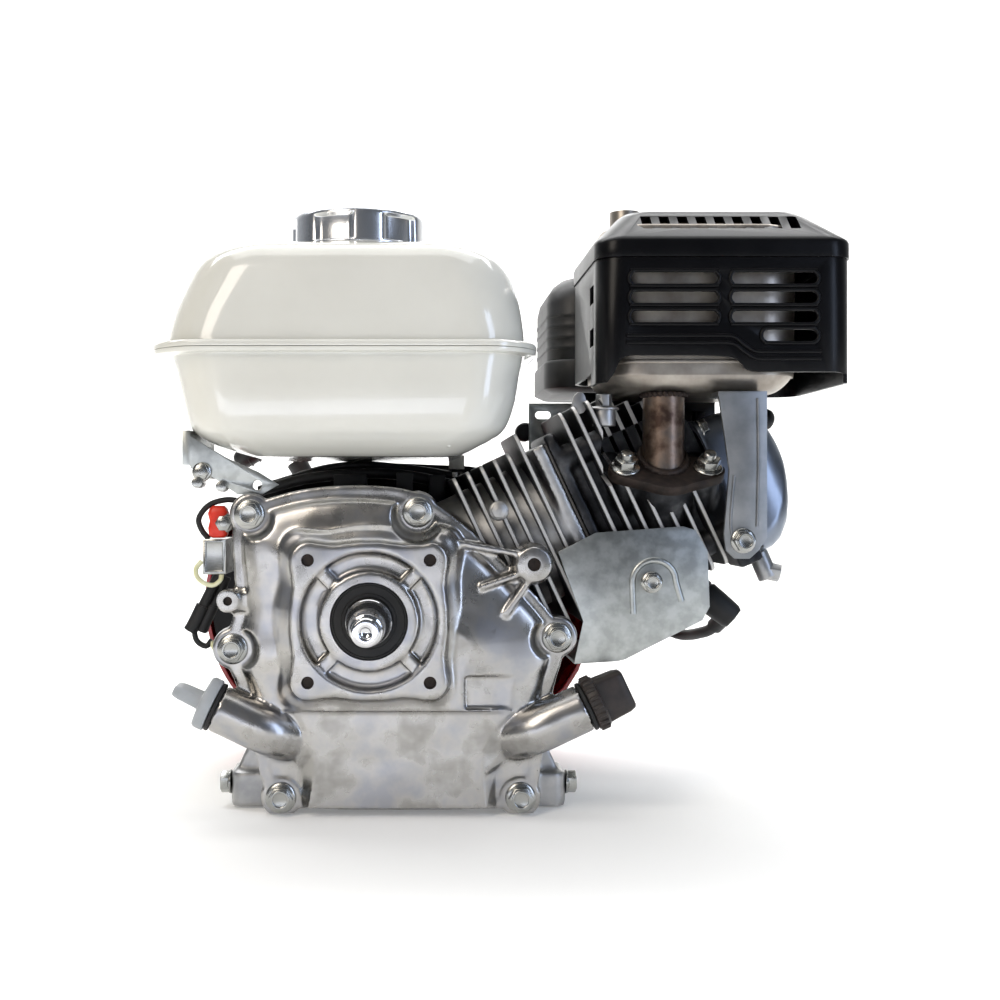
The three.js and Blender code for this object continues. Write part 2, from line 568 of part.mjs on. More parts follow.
// Muffler body under its guard, with the outlet stub.
function mufflerBody() {
  const levels = [[230.5, 142, 230, -57, 26, 18], [236, 133, 237, -59.5, 32, 22], [244, 130, 240, -60, 34, 24],
    [318, 130, 240, -60, 34, 24], [326, 140, 230, -50, 24, 20]];
  const stub = rodZ(9, 152, 8, 320, 344, 20);
  const body = loft(levels, 4);
  const inner = loft([[234, 146, 226, -53, 22, 16], [246, 133, 237, -57, 31, 22], [316, 133, 237, -57, 31, 22],
    [323, 143, 227, -47, 21, 18]], 4);
  return cut(join(body, stub), inner, rodZ(7, 152, 8, 322, 350, 16), rodZ(9.5, 164.8, -45, 228, 240, 16));
}

function guardLevels(inset, z0, z1) {
  const i = inset;
  return [[z0, 124 + i, 265 - i, -69 + i, 41 - i, 14 - i], [z1, 124 + i, 265 - i, -69 + i, 41 - i, 14 - i]];
}

const GUARD_SPLIT_Z = 303;

function mufflerGuard() {
  const shell = loft(guardLevels(0, 235, GUARD_SPLIT_Z), 4);
  const inside = loft(guardLevels(2, 230, GUARD_SPLIT_Z + 1), 4);
  const bottomOpen = outline([[120, 230], [133, 249.5], [198, 249.5], [212, 240], [240, 238], [246, 230]].reverse());
  const slots = [];
  for (const z of [291.5, 281, 270.5]) {
    for (const [x0, x1] of [[142, 190], [197, 244]]) slots.push(block(x0, x1, -72, -66, z - 3.4, z + 3.4));
  }
  slots.push(block(214, 244, -72, -66, 257, 263.5));
  for (const z of [262, 286]) slots.push(block(122, 127, -50, -36, z - 5, z + 5));
  return cut(shell, inside, slab(bottomOpen, -80, -60), block(118, 200, -40, 60, 228, 242), ...slots);
}

function guardLid() {
  const z = GUARD_SPLIT_Z + GAP;
  const outer = [[z, 124, 265, -69, 41, 14], [321, 124, 265, -69, 41, 14], [326, 127, 262, -64, 38, 14],
    [334, 146, 243, -42, 22, 12]];
  const inside = outer.map(([h, x0, x1, y0, y1, r]) => [h - 2, x0 + 2, x1 - 2, y0 + 2, y1 - 2, r - 2]);
  const slots = [];
  for (let k = 0; k < 9; k += 1) slots.push(block(151 + k * 10.2, 156.6 + k * 10.2, -60, -48, 318, 340));
  return cut(loft(outer, 4), loft(inside, 4), rodZ(11, 152, 8, 310, 350, 20), ...slots);
}

function exhaustPipe() {
  const port = exhaustPort();
  const pipe = rod(11.5, new THREE.Vector3(164.8, -45, 230.2), new THREE.Vector3(164.8, -45, 184), 20);
  const flangeShape = new THREE.Shape();
  flangeShape.setFromPoints([[-33, -4], [-27, -9], [-6, -19], [6, -19], [27, -9], [33, -4], [33, 4], [27, 9],
    [6, 19], [-6, 19], [-27, 9], [-33, 4]].map(([x, y]) => new THREE.Vector2(x, y)));
  const flange = new THREE.ExtrudeGeometry(flangeShape, { depth: 6, bevelEnabled: false });
  const turn = new THREE.Quaternion().setFromUnitVectors(new THREE.Vector3(0, 0, 1), port.out);
  const seat = port.at.clone().addScaledVector(port.out, GAP);
  flange.applyQuaternion(turn).translate(seat.x, seat.y, seat.z);
  const bead = rod(13.5, seat.clone().addScaledVector(port.out, 3), seat.clone().addScaledVector(port.out, 9), 20);
  const below = rod(40, seat.clone().addScaledVector(port.out, -50), seat, 12);
  const joined = cut(join(pipe, flange, bead), below);
  return cut(joined, rodZ(9.5, 164.8, -45, 196, 250, 16));
}

function mufflerStrap() {
  const shape = outline([[190, 229], [196, 187], [193, 152], [194, 143], [199, 138.5], [207, 138.5], [212, 143],
    [216.5, 150], [216.5, 229]]);
  const plate = slab(shape, -68.5, -66);
  const fold = block(214.5, 216.5, -68, -60, 150, 229);
  const tab = block(190, 216.5, -68.5, -50, 227.2, 229.8);
  return join(plate, fold, tab);
}

function cylinderShroud() {
  const face = outline([[103.3, 142], [124, 152.5], [172, 156], [178.7, 154], [185.3, 142.5], [186.4, 112],
    [182.5, 104.5], [140, 83], [136, 82], [112, 80.5], [117, 104]].reverse());
  const plate = slab(face, -63.5, -62);
  const under = outline([[112, 80.5], [136, 82], [140, 83], [182.5, 104.5], [186.4, 112], [185, 113], [181.5, 106],
    [139.5, 84.6], [136, 83.6], [112.5, 82]]);
  return join(plate, slab(under, -63.5, 34));
}

function airCleanerBase() {
  const tray = loft([[240, 116, 222, 56, 146, 18], [243, 110, 226, 51, 151, 22], [261, 110, 226, 51, 151, 22]], 4);
  const inside = loft([[243.5, 114, 222, 55, 147, 18], [262, 114, 222, 55, 147, 18]], 4);
  const stud = rodZ(3, 168, 101, 242, 326, 10);
  const elbow = rodZ(15, 168, 126, 222, 243, 18);
  return join(cut(join(tray, elbow), inside, rodZ(12, 168, 126, 215, 250, 18)), stud);
}

function airCleanerCover() {
  const outer = loft([[261.3, 112, 224, 53, 149, 20], [300, 112, 224, 53, 149, 20], [312, 118, 218, 59, 143, 24],
    [318, 130, 206, 71, 131, 20]], 4);
  const inside = loft([[260, 114.5, 221.5, 55.5, 146.5, 18], [299, 114.5, 221.5, 55.5, 146.5, 18],
    [310, 120, 216, 61, 141, 22], [315.5, 132, 204, 73, 129, 18]], 4);
  return cut(outer, inside, rodZ(3.6, 168, 101, 300, 330, 12));
}

function filterElement() {
  const outer = loft([[244, 122, 214, 63, 139, 26], [296, 122, 214, 63, 139, 26]], 4);
  return cut(outer, loft([[240, 140, 196, 81, 121, 16], [292, 140, 196, 81, 121, 16]], 4), rodZ(4, 168, 101, 280, 300, 12));
}

function wingNut() {
  const hub = rodZ(7, 168, 101, 318.5, 326, 16);
  const wings = [block(152, 163, 99.2, 102.8, 321, 331), block(173, 184, 99.2, 102.8, 321, 331),
    block(160, 176, 99.2, 102.8, 321, 325)];
  return cut(join(hub, ...wings), rodZ(3.4, 168, 101, 315, 326.6, 12));
}

function carburetor() {
  const body = join(block(150, 186, 64, 96, 170, 202), rodY(16, 168, 185, 61, 112, 20), rodZ(19, 168, 80, 148, 171, 20));
  const elbow = rod(15, new THREE.Vector3(168, 126, 185), new THREE.Vector3(168, 126, 221.7), 18);
  const link = rodY(15, 168, 185, 105, 127, 18);
  return cut(join(body, elbow, link), rodY(10, 168, 185, 58, 120, 16), rodZ(11, 168, 126, 185, 230, 16));
}

function intakeInsulator() {
  return cut(slab(roundedRect(148, 188, 167, 203, 8), 43.4, 60.6), rodY(10, 168, 185, 40, 64, 16));
}

function controlBracket() {
  const plate = block(98, 134, 47, 49, 196, 232);
  const foot = block(98, 134, 41, 49, 196, 198);
  return cut(join(plate, foot), rodY(2.7, 116, 214, 40, 60, 10));
}

function lever(x, z, y0, y1, angle, length, knob) {
  const a = THREE.MathUtils.degToRad(angle);
  const tip = [x + length * Math.cos(a), z + length * Math.sin(a)];
  const side = [3.5 * Math.sin(a), -3.5 * Math.cos(a)];
  const bar = slab(outline([[x - side[0], z - side[1]], [x + side[0], z + side[1]], [tip[0] + side[0], tip[1] + side[1]],
    [tip[0] - side[0], tip[1] - side[1]]]), y0, y1);
  return join(bar, rodY(6, x, z, y0, y1, 16), rodY(knob, tip[0], tip[1], y0, y1 + 8, 14));
}

function oilCap(side) {
  const [at, direction] = neckDirections()[side];
  const seat = at.clone().addScaledVector(direction, 3.1);
  const wide = rod(14.5, seat, seat.clone().addScaledVector(direction, 7), 20);
  const grip = new THREE.BoxGeometry(19, side ? 14 : 15, side ? 25 : 7);
  grip.applyQuaternion(new THREE.Quaternion().setFromUnitVectors(new THREE.Vector3(1, 0, 0), direction));
  const middle = seat.clone().addScaledVector(direction, 13);
  grip.translate(middle.x, middle.y, middle.z);
  const plug = rod(8.4, at.clone().addScaledVector(direction, -14), seat.clone().addScaledVector(direction, 1), 16);
  const pieces = [wide, grip, plug];
  if (!side) pieces.push(rod(2, at.clone().addScaledVector(direction, -29), at, 8));
  return join(...pieces);
}

function oilGasket(side) {
  const [at, direction] = neckDirections()[side];
  return cut(rod(13.6, at.clone().addScaledVector(direction, 0.4), at.clone().addScaledVector(direction, 2.8), 20),
    rod(9, at.clone().addScaledVector(direction, -2), at.clone().addScaledVector(direction, 5), 16));
}

function drainBolt(side) {
  const [x, out] = side ? [109.3, 1] : [-78.3, -1];
  const point = (distance) => new THREE.Vector3(x + out * distance, -45, 12);
  return join(rod(6.6, point(0), point(1.6), 16), rod(5.4, point(1), point(6), 6));
}

function ring(outer, inner, y0, y1, sides = 32) {
  return cut(rodY(outer, 0, SHAFT_Z, y0, y1, sides), rodY(inner, 0, SHAFT_Z, y0 - 1, y1 + 1, sides));
}

function sparkPlug() {
  const out = plugOut();
  const at = plugSeat();
  return turned([[0, -14], [5.9, -14], [5.9, 0.3], [8.5, 0.3], [9, 1], [9, 8], [5, 9], [5, 24], [0, 24]], at, out, 16);
}

function plugCap() {
  const out = plugOut();
  const at = plugSeat().addScaledVector(out, 10);
  const body = turned([[5.3, 0], [8.5, 0], [9, 4], [8, 26], [0, 27], [0, 16], [5.3, 15], [5.3, 0]], at, out, 16);
  const elbow = at.clone().addScaledVector(out, 21.5);
  return join(body, rod(5, elbow, elbow.clone().add(new THREE.Vector3(-4, 14, -9)), 12));
}

// Root body.
part('crankcase', crankcase(), ...CAST);
part('side_cover', sideCover(), ...CAST);
part('side_cover_gasket', cut(slab(caseOutline(0.5), FACE_Y - GAP - GASKET, FACE_Y - GAP), slab(caseOutline(8), -70, -50),
  ...COVER_BOLTS.map(([x, z]) => rodY(4, x, z, -70, -50, 10))), ...RUBBER);
part('shaft_seal', ring(SEAL_R - GAP, 13, -86.4, -80), ...RUBBER);
part('drive_side_bearing', ring(BEARING_R - GAP, 13, -78.6, -64.4), ...BRIGHT);
part('fan_side_bearing', ring(BEARING_R - GAP, 13, 40.3, 54.6), ...BRIGHT);
part('cylinder_head', cylinderHead(), ...CAST);
part('head_gasket', leaned(cut(block(DECK_U + GAP, HEAD_U[0] - GAP, -49, 33, -45, 45),
  rod(35, new THREE.Vector3(120, CYLINDER_Y, 0), new THREE.Vector3(140, CYLINDER_Y, 0), 24))), ...RUBBER);
part('rocker_cover', rockerCover(), '#a9b4c0', 0.35, 0.9);
part('exhaust_pipe', exhaustPipe(), '#6b5a4e', 0.45, 0.9);
part('muffler_body', mufflerBody(), '#9a928a', 0.45, 0.8);
part('muffler_guard', mufflerGuard(), ...DARK);
part('muffler_guard_lid', guardLid(), ...DARK);
part('muffler_strap', mufflerStrap(), ...STEEL);
part('cylinder_shroud', cylinderShroud(), '#a8ada9', 0.4, 0.9);
part('fuel_tank_lower', tankLower(), ...WHITE);
part('fuel_tank_upper', tankUpper(), ...WHITE);
part('tank_bracket', tankBracket(), ...STEEL);
part('fan_cover', fanCover(), ...RED);
part('recoil_case', recoilCase(), ...RED);
part('air_cleaner_base', airCleanerBase(), ...DARK);
part('filter_element', filterElement(), '#3a3a34', 0.9, 0);
part('carburetor', carburetor(), '#8f9294', 0.4, 0.9);
part('intake_insulator', intakeInsulator(), ...RUBBER);
part('control_bracket', controlBracket(), ...STEEL);
part('spark_plug', sparkPlug(), '#e8e4dc', 0.3, 0);
part('plug_cap', plugCap(), ...RUBBER);
part('fuel_hose', hose([[52, 46, 189.3], [52, 46, 184], [63, 50, 176], [90, 53, 182], [112, 57, 191], [130, 65, 190],
  [141, 75, 186.5], [147.5, 76, 186]], 3.5, 16), ...RUBBER);
part('breather_hose', hose([[236.3, 10, 216.7], [238.3, 10.3, 217.9], [241, 18, 221.5], [241, 32, 224], [239, 44, 229], [237, 54, 240],
  [233, 62, 248], [229, 66, 250], [226.6, 66.5, 250]],
  4.5, 14), ...RUBBER);
part('oil_level_unit', block(-87, -75.5, -62, -20, 128, 147), '#b9bdc1', 0.4, 0.8);
part('stop_switch_body', rodY(8, ...SWITCH_AT, FAN_Y[1] + GAP, 136, 20), ...DARK);
part('drain_bolt_left', drainBolt(0), ...STEEL);
part('drain_bolt_right', drainBolt(1), ...STEEL);
part('piston', piston(), ...CAST);
part('connecting_rod', connectingRod(), ...CAST);
COVER_BOLTS.forEach(([x, z], k) => part(`cover_bolt_${k + 1}`, flangedBolt(x, z, COVER_FLANGE_Y), ...STEEL));

// Crank body.
part('crankshaft', crankshaft(), ...BRIGHT);
part('big_end', bigEnd(), ...CAST);
part('flywheel', flywheel(), ...CAST);

// Other moving pieces.
part('camshaft', camshaft(), ...STEEL);
part('governor_gear', governorGear(), ...RUBBER);
part('starter_reel', starterReel(), ...DARK);
part('starter_handle', starterHandle(), ...DARK);
part('throttle_lever', lever(116, 214, 50, 53, 175, 22, 4), ...STEEL);
part('choke_lever', lever(144, 192, 99, 102, 205, 22, 4), ...DARK);
part('fuel_valve_lever', lever(150, 164, 100, 103, 270, 22, 4), ...DARK);
part('stop_switch_knob', join(rodY(7, ...SWITCH_AT, 136.4, 140, 16),
  block(SWITCH_AT[0] - 2, SWITCH_AT[0] + 2, 139, 147, SWITCH_AT[1] - 7, SWITCH_AT[1] + 7)), '#b02018', 0.4, 0);
part('fuel_cap_gasket', fuelCapGasket(), ...RUBBER);
part('fuel_cap', fuelCap(), ...BRIGHT);
part('oil_gasket_left', oilGasket(0), ...RUBBER);
part('oil_cap_left', oilCap(0), '#b9bdc1', 0.5, 0);
part('oil_gasket_right', oilGasket(1), ...RUBBER);
part('oil_cap_right', oilCap(1), '#2a211c', 0.5, 0);
part('air_cleaner_cover', airCleanerCover(), ...DARK);
part('wing_nut', wingNut(), ...BRIGHT);

export default group;
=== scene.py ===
"""Small gasoline engine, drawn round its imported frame, laid out as an add-on and run as a script."""
import math

import bpy
from bpy.props import FloatProperty, FloatVectorProperty, PointerProperty
from bpy.types import Operator, Panel, PropertyGroup
from mathutils import Matrix, Vector


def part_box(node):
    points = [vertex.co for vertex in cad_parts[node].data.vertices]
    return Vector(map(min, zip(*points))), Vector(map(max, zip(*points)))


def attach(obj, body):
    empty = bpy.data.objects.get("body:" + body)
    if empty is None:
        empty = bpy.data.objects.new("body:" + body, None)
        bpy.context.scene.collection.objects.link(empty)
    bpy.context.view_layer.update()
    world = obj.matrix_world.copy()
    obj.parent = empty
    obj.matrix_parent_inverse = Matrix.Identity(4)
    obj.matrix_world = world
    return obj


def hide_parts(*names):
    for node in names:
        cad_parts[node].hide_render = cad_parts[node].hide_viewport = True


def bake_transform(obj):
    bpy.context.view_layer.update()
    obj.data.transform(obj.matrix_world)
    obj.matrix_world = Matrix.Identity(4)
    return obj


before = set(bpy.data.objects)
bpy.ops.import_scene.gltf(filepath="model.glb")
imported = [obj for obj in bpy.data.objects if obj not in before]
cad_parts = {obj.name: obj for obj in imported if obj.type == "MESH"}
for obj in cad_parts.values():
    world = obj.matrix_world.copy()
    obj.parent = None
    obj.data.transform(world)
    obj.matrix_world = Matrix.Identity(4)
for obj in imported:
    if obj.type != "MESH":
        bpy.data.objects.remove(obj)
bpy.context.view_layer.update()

bl_info = {
    "name": "Small gasoline engine",
    "version": (1, 0, 0),
    "blender": (4, 5, 0),
    "location": "View3D > Sidebar > Engine",
    "description": "Builds the finished surfaces of a small gasoline engine round its frame",
    "category": "Object",
}

MM = 0.001
Y_AXIS, Z_AXIS = Vector((0, 1, 0)), Vector((0, 0, 1))


def box_mm(node):
    """Lowest and highest corners of a CAD node, in millimetres."""
    low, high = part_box(node)
    return Vector(low) / MM, Vector(high) / MM


def middle_xz(node):
    """Where the middle of a CAD node stands, seen along Y."""
    low, high = box_mm(node)
    return (low.x + high.x) / 2, (low.z + high.z) / 2


# Places taken from the frame, in millimetres.
SEAL_LOW, SEAL_HIGH = box_mm("shaft_seal")
COVER_LOW, COVER_HIGH = box_mm("side_cover")
SHAFT_Z = (SEAL_LOW.z + SEAL_HIGH.z) / 2
PAD_Y = COVER_LOW.y
COVER_BACK_Y = COVER_HIGH.y
CASE_LOW, CASE_HIGH = box_mm("crankcase")
FACE_Y = CASE_LOW.y
FLANGE_Y = FACE_Y - 9

# The bore leans from level by TILT; ALONG follows it and SQUARE stands square to it.
TILT = math.radians(25)
CYLINDER_Y = -8
ALONG = Vector((math.cos(TILT), 0, math.sin(TILT)))
SQUARE = Vector((-math.sin(TILT), 0, math.cos(TILT)))

PAD_HOLE = 32.5
FIN_PITCH = 8.2
SHROUD_Y = -63.5
STRAP_Y = -68.5
RECOIL_Y = 127.3

# Places seen along Y, as (x, z).
LUG = (88.6, 135.8)
SMALL_LUG = (-77, 115.6)
INTAKE_BORE = (168, 185)
STRAP_BOLT = (203.2, 148.3)
SHROUD_BOLT = (154.5, 125.4)
STOP_SWITCH = (-89.6, 69.7)

# Places seen along Z, as (x, y).
TANK_CAP = (-9, 8)
EXHAUST_PIPE = (164.8, -45)
TAILPIPE = (152, 8)
INTAKE_ELBOW = (168, 126)
CLEANER_STUD = (168, 101)

COVER_BOLTS = [middle_xz(f"cover_bolt_{number}") for number in range(1, 7)]
CASE_CORNERS = [(-66, 168), (-31, 178), (16, 178), (34, 170), (61, 149), (104, 104), (106, 88), (99, 67),
                (95, 40), (90, 6), (76, 2), (-42, 2), (-56, 6), (-65, 45), (-72, 70), (-79, 84), (-78, 96),
                (-72, 112), (-76, 160)]
CASE_CENTRE = (12, 88)
NECKS = {
    "left": (Vector((-81.6, -74, 58)), Vector((-math.cos(TILT), 0, math.sin(TILT)))),
    "right": (Vector((115.9, -74, 58.3)), Vector((math.cos(TILT), 0, math.sin(TILT)))),
}


# Shapes are (points in millimetres, faces), closed and facing out.
def shape_box(x0, x1, y0, y1, z0, z1):
    points = [Vector((x, y, z)) for z in (z0, z1) for y in (y0, y1) for x in (x0, x1)]
    return points, [(0, 2, 3, 1), (4, 5, 7, 6), (0, 1, 5, 4), (2, 6, 7, 3), (0, 4, 6, 2), (1, 3, 7, 5)]


def facing(direction):
    """Rotation that turns +Z to a direction."""
    return Z_AXIS.rotation_difference(Vector(direction).normalized()).to_matrix()


def shape_turned(profile, origin, direction, sides=64):
    """Solid of revolution from (radius, distance) pairs, ending on the axis or closing on itself."""
    turn, origin = facing(direction), Vector(origin)
    points, rings = [], []
    for radius, height in profile:
        count = 1 if radius < 1e-6 else sides
        rings.append((len(points), count))
        for k in range(count):
            angle = 2 * math.pi * k / sides
            points.append(origin + turn @ Vector((radius * math.cos(angle), radius * math.sin(angle),
                                                  height)))
    faces = []
    for (a, na), (b, nb) in zip(rings, rings[1:]):
        for k in range(sides):
            n = (k + 1) % sides
            if na == 1 and nb == 1:
                continue
            if na == 1:
                faces.append((a, b + n, b + k))
            elif nb == 1:
                faces.append((a + k, a + n, b))
            else:
                faces.append((a + k, a + n, b + n, b + k))
    return outward((points, faces), rings)


def outward(shape, rings=None):
    """Closes a ring profile on itself where it has no ends on the axis, and turns the faces out."""
    points, faces = shape
    if rings and rings[0][1] > 1:
        (a, n), (b, _) = rings[-1], rings[0]
        faces = faces + [(a + k, a + (k + 1) % n, b + (k + 1) % n, b + k) for k in range(n)]
    volume = 0.0
    for face in faces:
        for i in range(1, len(face) - 1):
            volume += points[face[0]].dot(points[face[i]].cross(points[face[i + 1]]))
    return (points, [tuple(reversed(face)) for face in faces]) if volume < 0 else (points, faces)


def shape_rod(radius, start, end, sides=48, edge=0.0):
    """Round bar between two points, with its end edges taken off by edge."""
    start, end = Vector(start), Vector(end)
    length = (end - start).length
    profile = [(0, 0), (radius, 0), (radius, length), (0, length)]
    if edge:
        profile = [(0, 0), (radius - edge, 0), (radius, edge), (radius, length - edge),
                   (radius - edge, length), (0, length)]
    return shape_turned(profile, start, end - start, sides)


def rod_y(radius, x, z, y0, y1, sides=48, edge=0.0):
    return shape_rod(radius, (x, y0, z), (x, y1, z), sides, edge)


def rod_z(radius, x, y, z0, z1, sides=48, edge=0.0):
    return shape_rod(radius, (x, y, z0), (x, y, z1), sides, edge)


def shape_skin(rings):
    """Closed solid through rings of equal counts, with flat ends."""
    count = len(rings[0])
    points = [Vector(p) for ring in rings for p in ring]
    faces = []
    for level in range(len(rings) - 1):
        for k in range(count):
            a, b = level * count + k, level * count + (k + 1) % count
            faces.append((a, b, b + count, a + count))
    top = (len(rings) - 1) * count
    faces.append(tuple(reversed(range(count))))
    faces.append(tuple(range(top, top + count)))
    return outward((points, faces))


def slab(outline, y0, y1):
    """Outline of (x, z) points, as thick as the stretch from y0 to y1."""
    return shape_skin([[(x, y, z) for x, z in outline] for y in (y0, y1)])


def slab_x(outline, x0, x1):
    """Outline of (y, z) points, as thick as the stretch from x0 to x1."""
    return shape_skin([[(x, y, z) for y, z in outline] for x in (x0, x1)])


def rounded_ring(z, x0, x1, y0, y1, r, corner=12):
    ring = []
    for quarter, (cx, cy) in enumerate(((x1 - r, y1 - r), (x0 + r, y1 - r), (x0 + r, y0 + r),
                                        (x1 - r, y0 + r))):
        for k in range(corner + 1):
            angle = (quarter + k / corner) * math.pi / 2
            ring.append((cx + r * math.cos(angle), cy + r * math.sin(angle), z))
    return ring


def eased(rows, between):
    """Rows of numbers with smooth in-between rows, by a Catmull-Rom curve through them."""
    made = []
    for i in range(len(rows) - 1):
        p0, p1, p2 = rows[max(i - 1, 0)], rows[i], rows[i + 1]
        p3 = rows[min(i + 2, len(rows) - 1)]
        for k in range(between):
            t = k / between
            made.append([0.5 * (2 * b + (c - a) * t + (2 * a - 5 * b + 4 * c - d) * t * t
                                + (3 * b - a - 3 * c + d) * t ** 3) for a, b, c, d in zip(p0, p1, p2, p3)])
    return made + [list(rows[-1])]


def shape_loft(levels, corner=12, between=1):
    """Solid through level rounded rectangles (z, x0, x1, y0, y1, corner radius)."""
    rows = eased(levels, between) if between > 1 else levels
    return shape_skin([rounded_ring(*row, corner=corner) for row in rows])


def smooth_outline(corners, rounds=3):
    """Corner-cut outline: each pass trims every corner to a quarter of its sides."""
    for _ in range(rounds):
        trimmed = []
        for (x0, z0), (x1, z1) in zip(corners, corners[1:] + corners[:1]):
            trimmed += [(x0 * 0.75 + x1 * 0.25, z0 * 0.75 + z1 * 0.25),
                        (x0 * 0.25 + x1 * 0.75, z0 * 0.25 + z1 * 0.75)]
        corners = trimmed
    return corners


def curve_through(points, step):
    """Evenly spread points of a smooth curve through the given ones."""
    rows = eased([list(p) for p in points], 12)
    curve, carried = [Vector(rows[0])], 0.0
    for a, b in zip(rows, rows[1:]):
        a, b = Vector(a), Vector(b)
        carried += (b - a).length
        if carried >= step:
            curve.append(b)
            carried = 0.0
    if (curve[-1] - Vector(rows[-1])).length > step / 3:
        curve.append(Vector(rows[-1]))
    else:
        curve[-1] = Vector(rows[-1])
    return curve


def shape_tube(points, radius, sides=20, step=None, flat=1.0):
    """Round or flattened section carried along a smooth curve."""
    curve = curve_through(points, step or radius)
    tangent = (curve[1] - curve[0]).normalized()
    side = tangent.orthogonal().normalized()
    rings = []
    for i, centre in enumerate(curve):
        ahead = (curve[min(i + 1, len(curve) - 1)] - curve[max(i - 1, 0)]).normalized()
        side = (tangent.rotation_difference(ahead) @ side).normalized()
        tangent = ahead
        other = tangent.cross(side)
        rings.append([centre + side * radius * math.cos(a) + other * radius * flat * math.sin(a)
                      for a in (2 * math.pi * k / sides for k in range(sides))])
    return shape_skin(rings)


def moved(shape, matrix):
    return [matrix @ p for p in shape[0]], shape[1]


def joined(shapes):
    points, faces = [], []
    for more, turned in shapes:
        start = len(points)
        points += more
        faces += [tuple(i + start for i in face) for face in turned]
    return points, faces


def leaned(shape):
    """From the cylinder's own frame (x along the bore, z square to it) to the engine's."""
    turn = Matrix((ALONG, Y_AXIS, SQUARE)).transposed().to_4x4()
    return moved(shape, Matrix.Translation((0, 0, SHAFT_Z)) @ turn)


def bore_point(u, v, y=0.0):
    return ALONG * u + SQUARE * v + Vector((0, y, SHAFT_Z))


def hexagon(size, start, end, edge=0.6):
    """Hexagon bar with chamfered ends; size is across the flats."""
    start, end = Vector(start), Vector(end)
    length = (end - start).length
    radius = size / math.sqrt(3)
    profile = [(0, 0), (radius - edge, 0), (radius, edge * 0.6), (radius, length - edge * 0.6),
               (radius - edge, length), (0, length)]
    return shape_turned(profile, start, end - start, 6)


# Objects.
def new_object(name, shape):
    mesh = bpy.data.meshes.new(name)
    mesh.from_pydata([p * MM for p in shape[0]], [], shape[1])
    mesh.update()
    obj = bpy.data.objects.new(name, mesh)
    bpy.context.scene.collection.objects.link(obj)
    return obj


def settle(obj):
    """Applies the modifiers."""
    graph = bpy.context.evaluated_depsgraph_get()
    mesh = bpy.data.meshes.new_from_object(obj.evaluated_get(graph))
    obj.modifiers.clear()
    old = obj.data
    obj.data = mesh
    bpy.data.meshes.remove(old)


def boolean(obj, shapes, operation):
    """Adds to an object, or takes from it, one closed shape after another."""
    for shape in shapes:
        tool = new_object("tool", shape)
        change = obj.modifiers.new("cut", "BOOLEAN")
        change.operation, change.solver, change.object = operation, "MANIFOLD", tool
        settle(obj)
        mesh = tool.data
        bpy.data.objects.remove(tool)
        bpy.data.meshes.remove(mesh)


def remesh(obj, voxel):
    change = obj.modifiers.new("remesh", "REMESH")
    change.mode, change.voxel_size = "VOXEL", voxel * MM
    settle(obj)


def soften(obj, passes, factor=0.5):
    change = obj.modifiers.new("smooth", "SMOOTH")
    change.factor, change.iterations = factor, passes
    settle(obj)


def thin_out(obj, share):
    change = obj.modifiers.new("thin", "DECIMATE")
    change.ratio = share
    settle(obj)


def round_edges(obj, width, segments=2, angle=35):
    change = obj.modifiers.new("edges", "BEVEL")
    change.width, change.segments, change.limit_method = width * MM, segments, "ANGLE"
    change.angle_limit = math.radians(angle)
    change.use_clamp_overlap = True
    settle(obj)


def casting(name, add, cut, voxel, passes, share, trim=(), ribs=()):
    """Cast shape: fused, cut and smoothed, so every corner gets a fillet; trim is machined afterwards."""
    obj = new_object(name, joined(add))
    remesh(obj, voxel)
    boolean(obj, cut, "DIFFERENCE")
    boolean(obj, ribs, "UNION")
    remesh(obj, voxel)
    soften(obj, passes)
    thin_out(obj, share)
    boolean(obj, trim, "DIFFERENCE")
    return obj


def cut_piece(name, add, cut, width=0.5, segments=2):
    """Pressed, moulded or machined shape: joined and cut exactly, with its edges rounded."""
    obj = new_object(name, add[0])
    boolean(obj, add[1:], "UNION")
    boolean(obj, cut, "DIFFERENCE")
    if width:
        round_edges(obj, width, segments)
    return obj


def plain_piece(name, shapes, width=0.0, segments=2):
    """Separate closed solids kept as one piece."""
    obj = new_object(name, joined(shapes))
    if width:
        round_edges(obj, width, segments)
    return obj


# Materials.
def linear(text):
    """sRGB hex colour as linear RGBA."""
    values = [int(text[i:i + 2], 16) / 255 for i in (1, 3, 5)]
    return (*[v / 12.92 if v <= 0.04045 else ((v + 0.055) / 1.055) ** 2.4 for v in values], 1.0)


def add_node(tree, kind, settings=None, sockets=None, links=None):
    """Adds a node with attribute settings, socket values and links {input: (node, output)}."""
    made = tree.nodes.new(kind)
    for key, value in (settings or {}).items():
        setattr(made, key, value)
    for key, value in (sockets or {}).items():
        made.inputs[key].default_value = value
    for key, (source, output) in (links or {}).items():
        tree.links.new(source.outputs[output], made.inputs[key])
    return made


def per_mm(size):
    """Texture scale whose features are this many millimetres across."""
    return 1000.0 / size


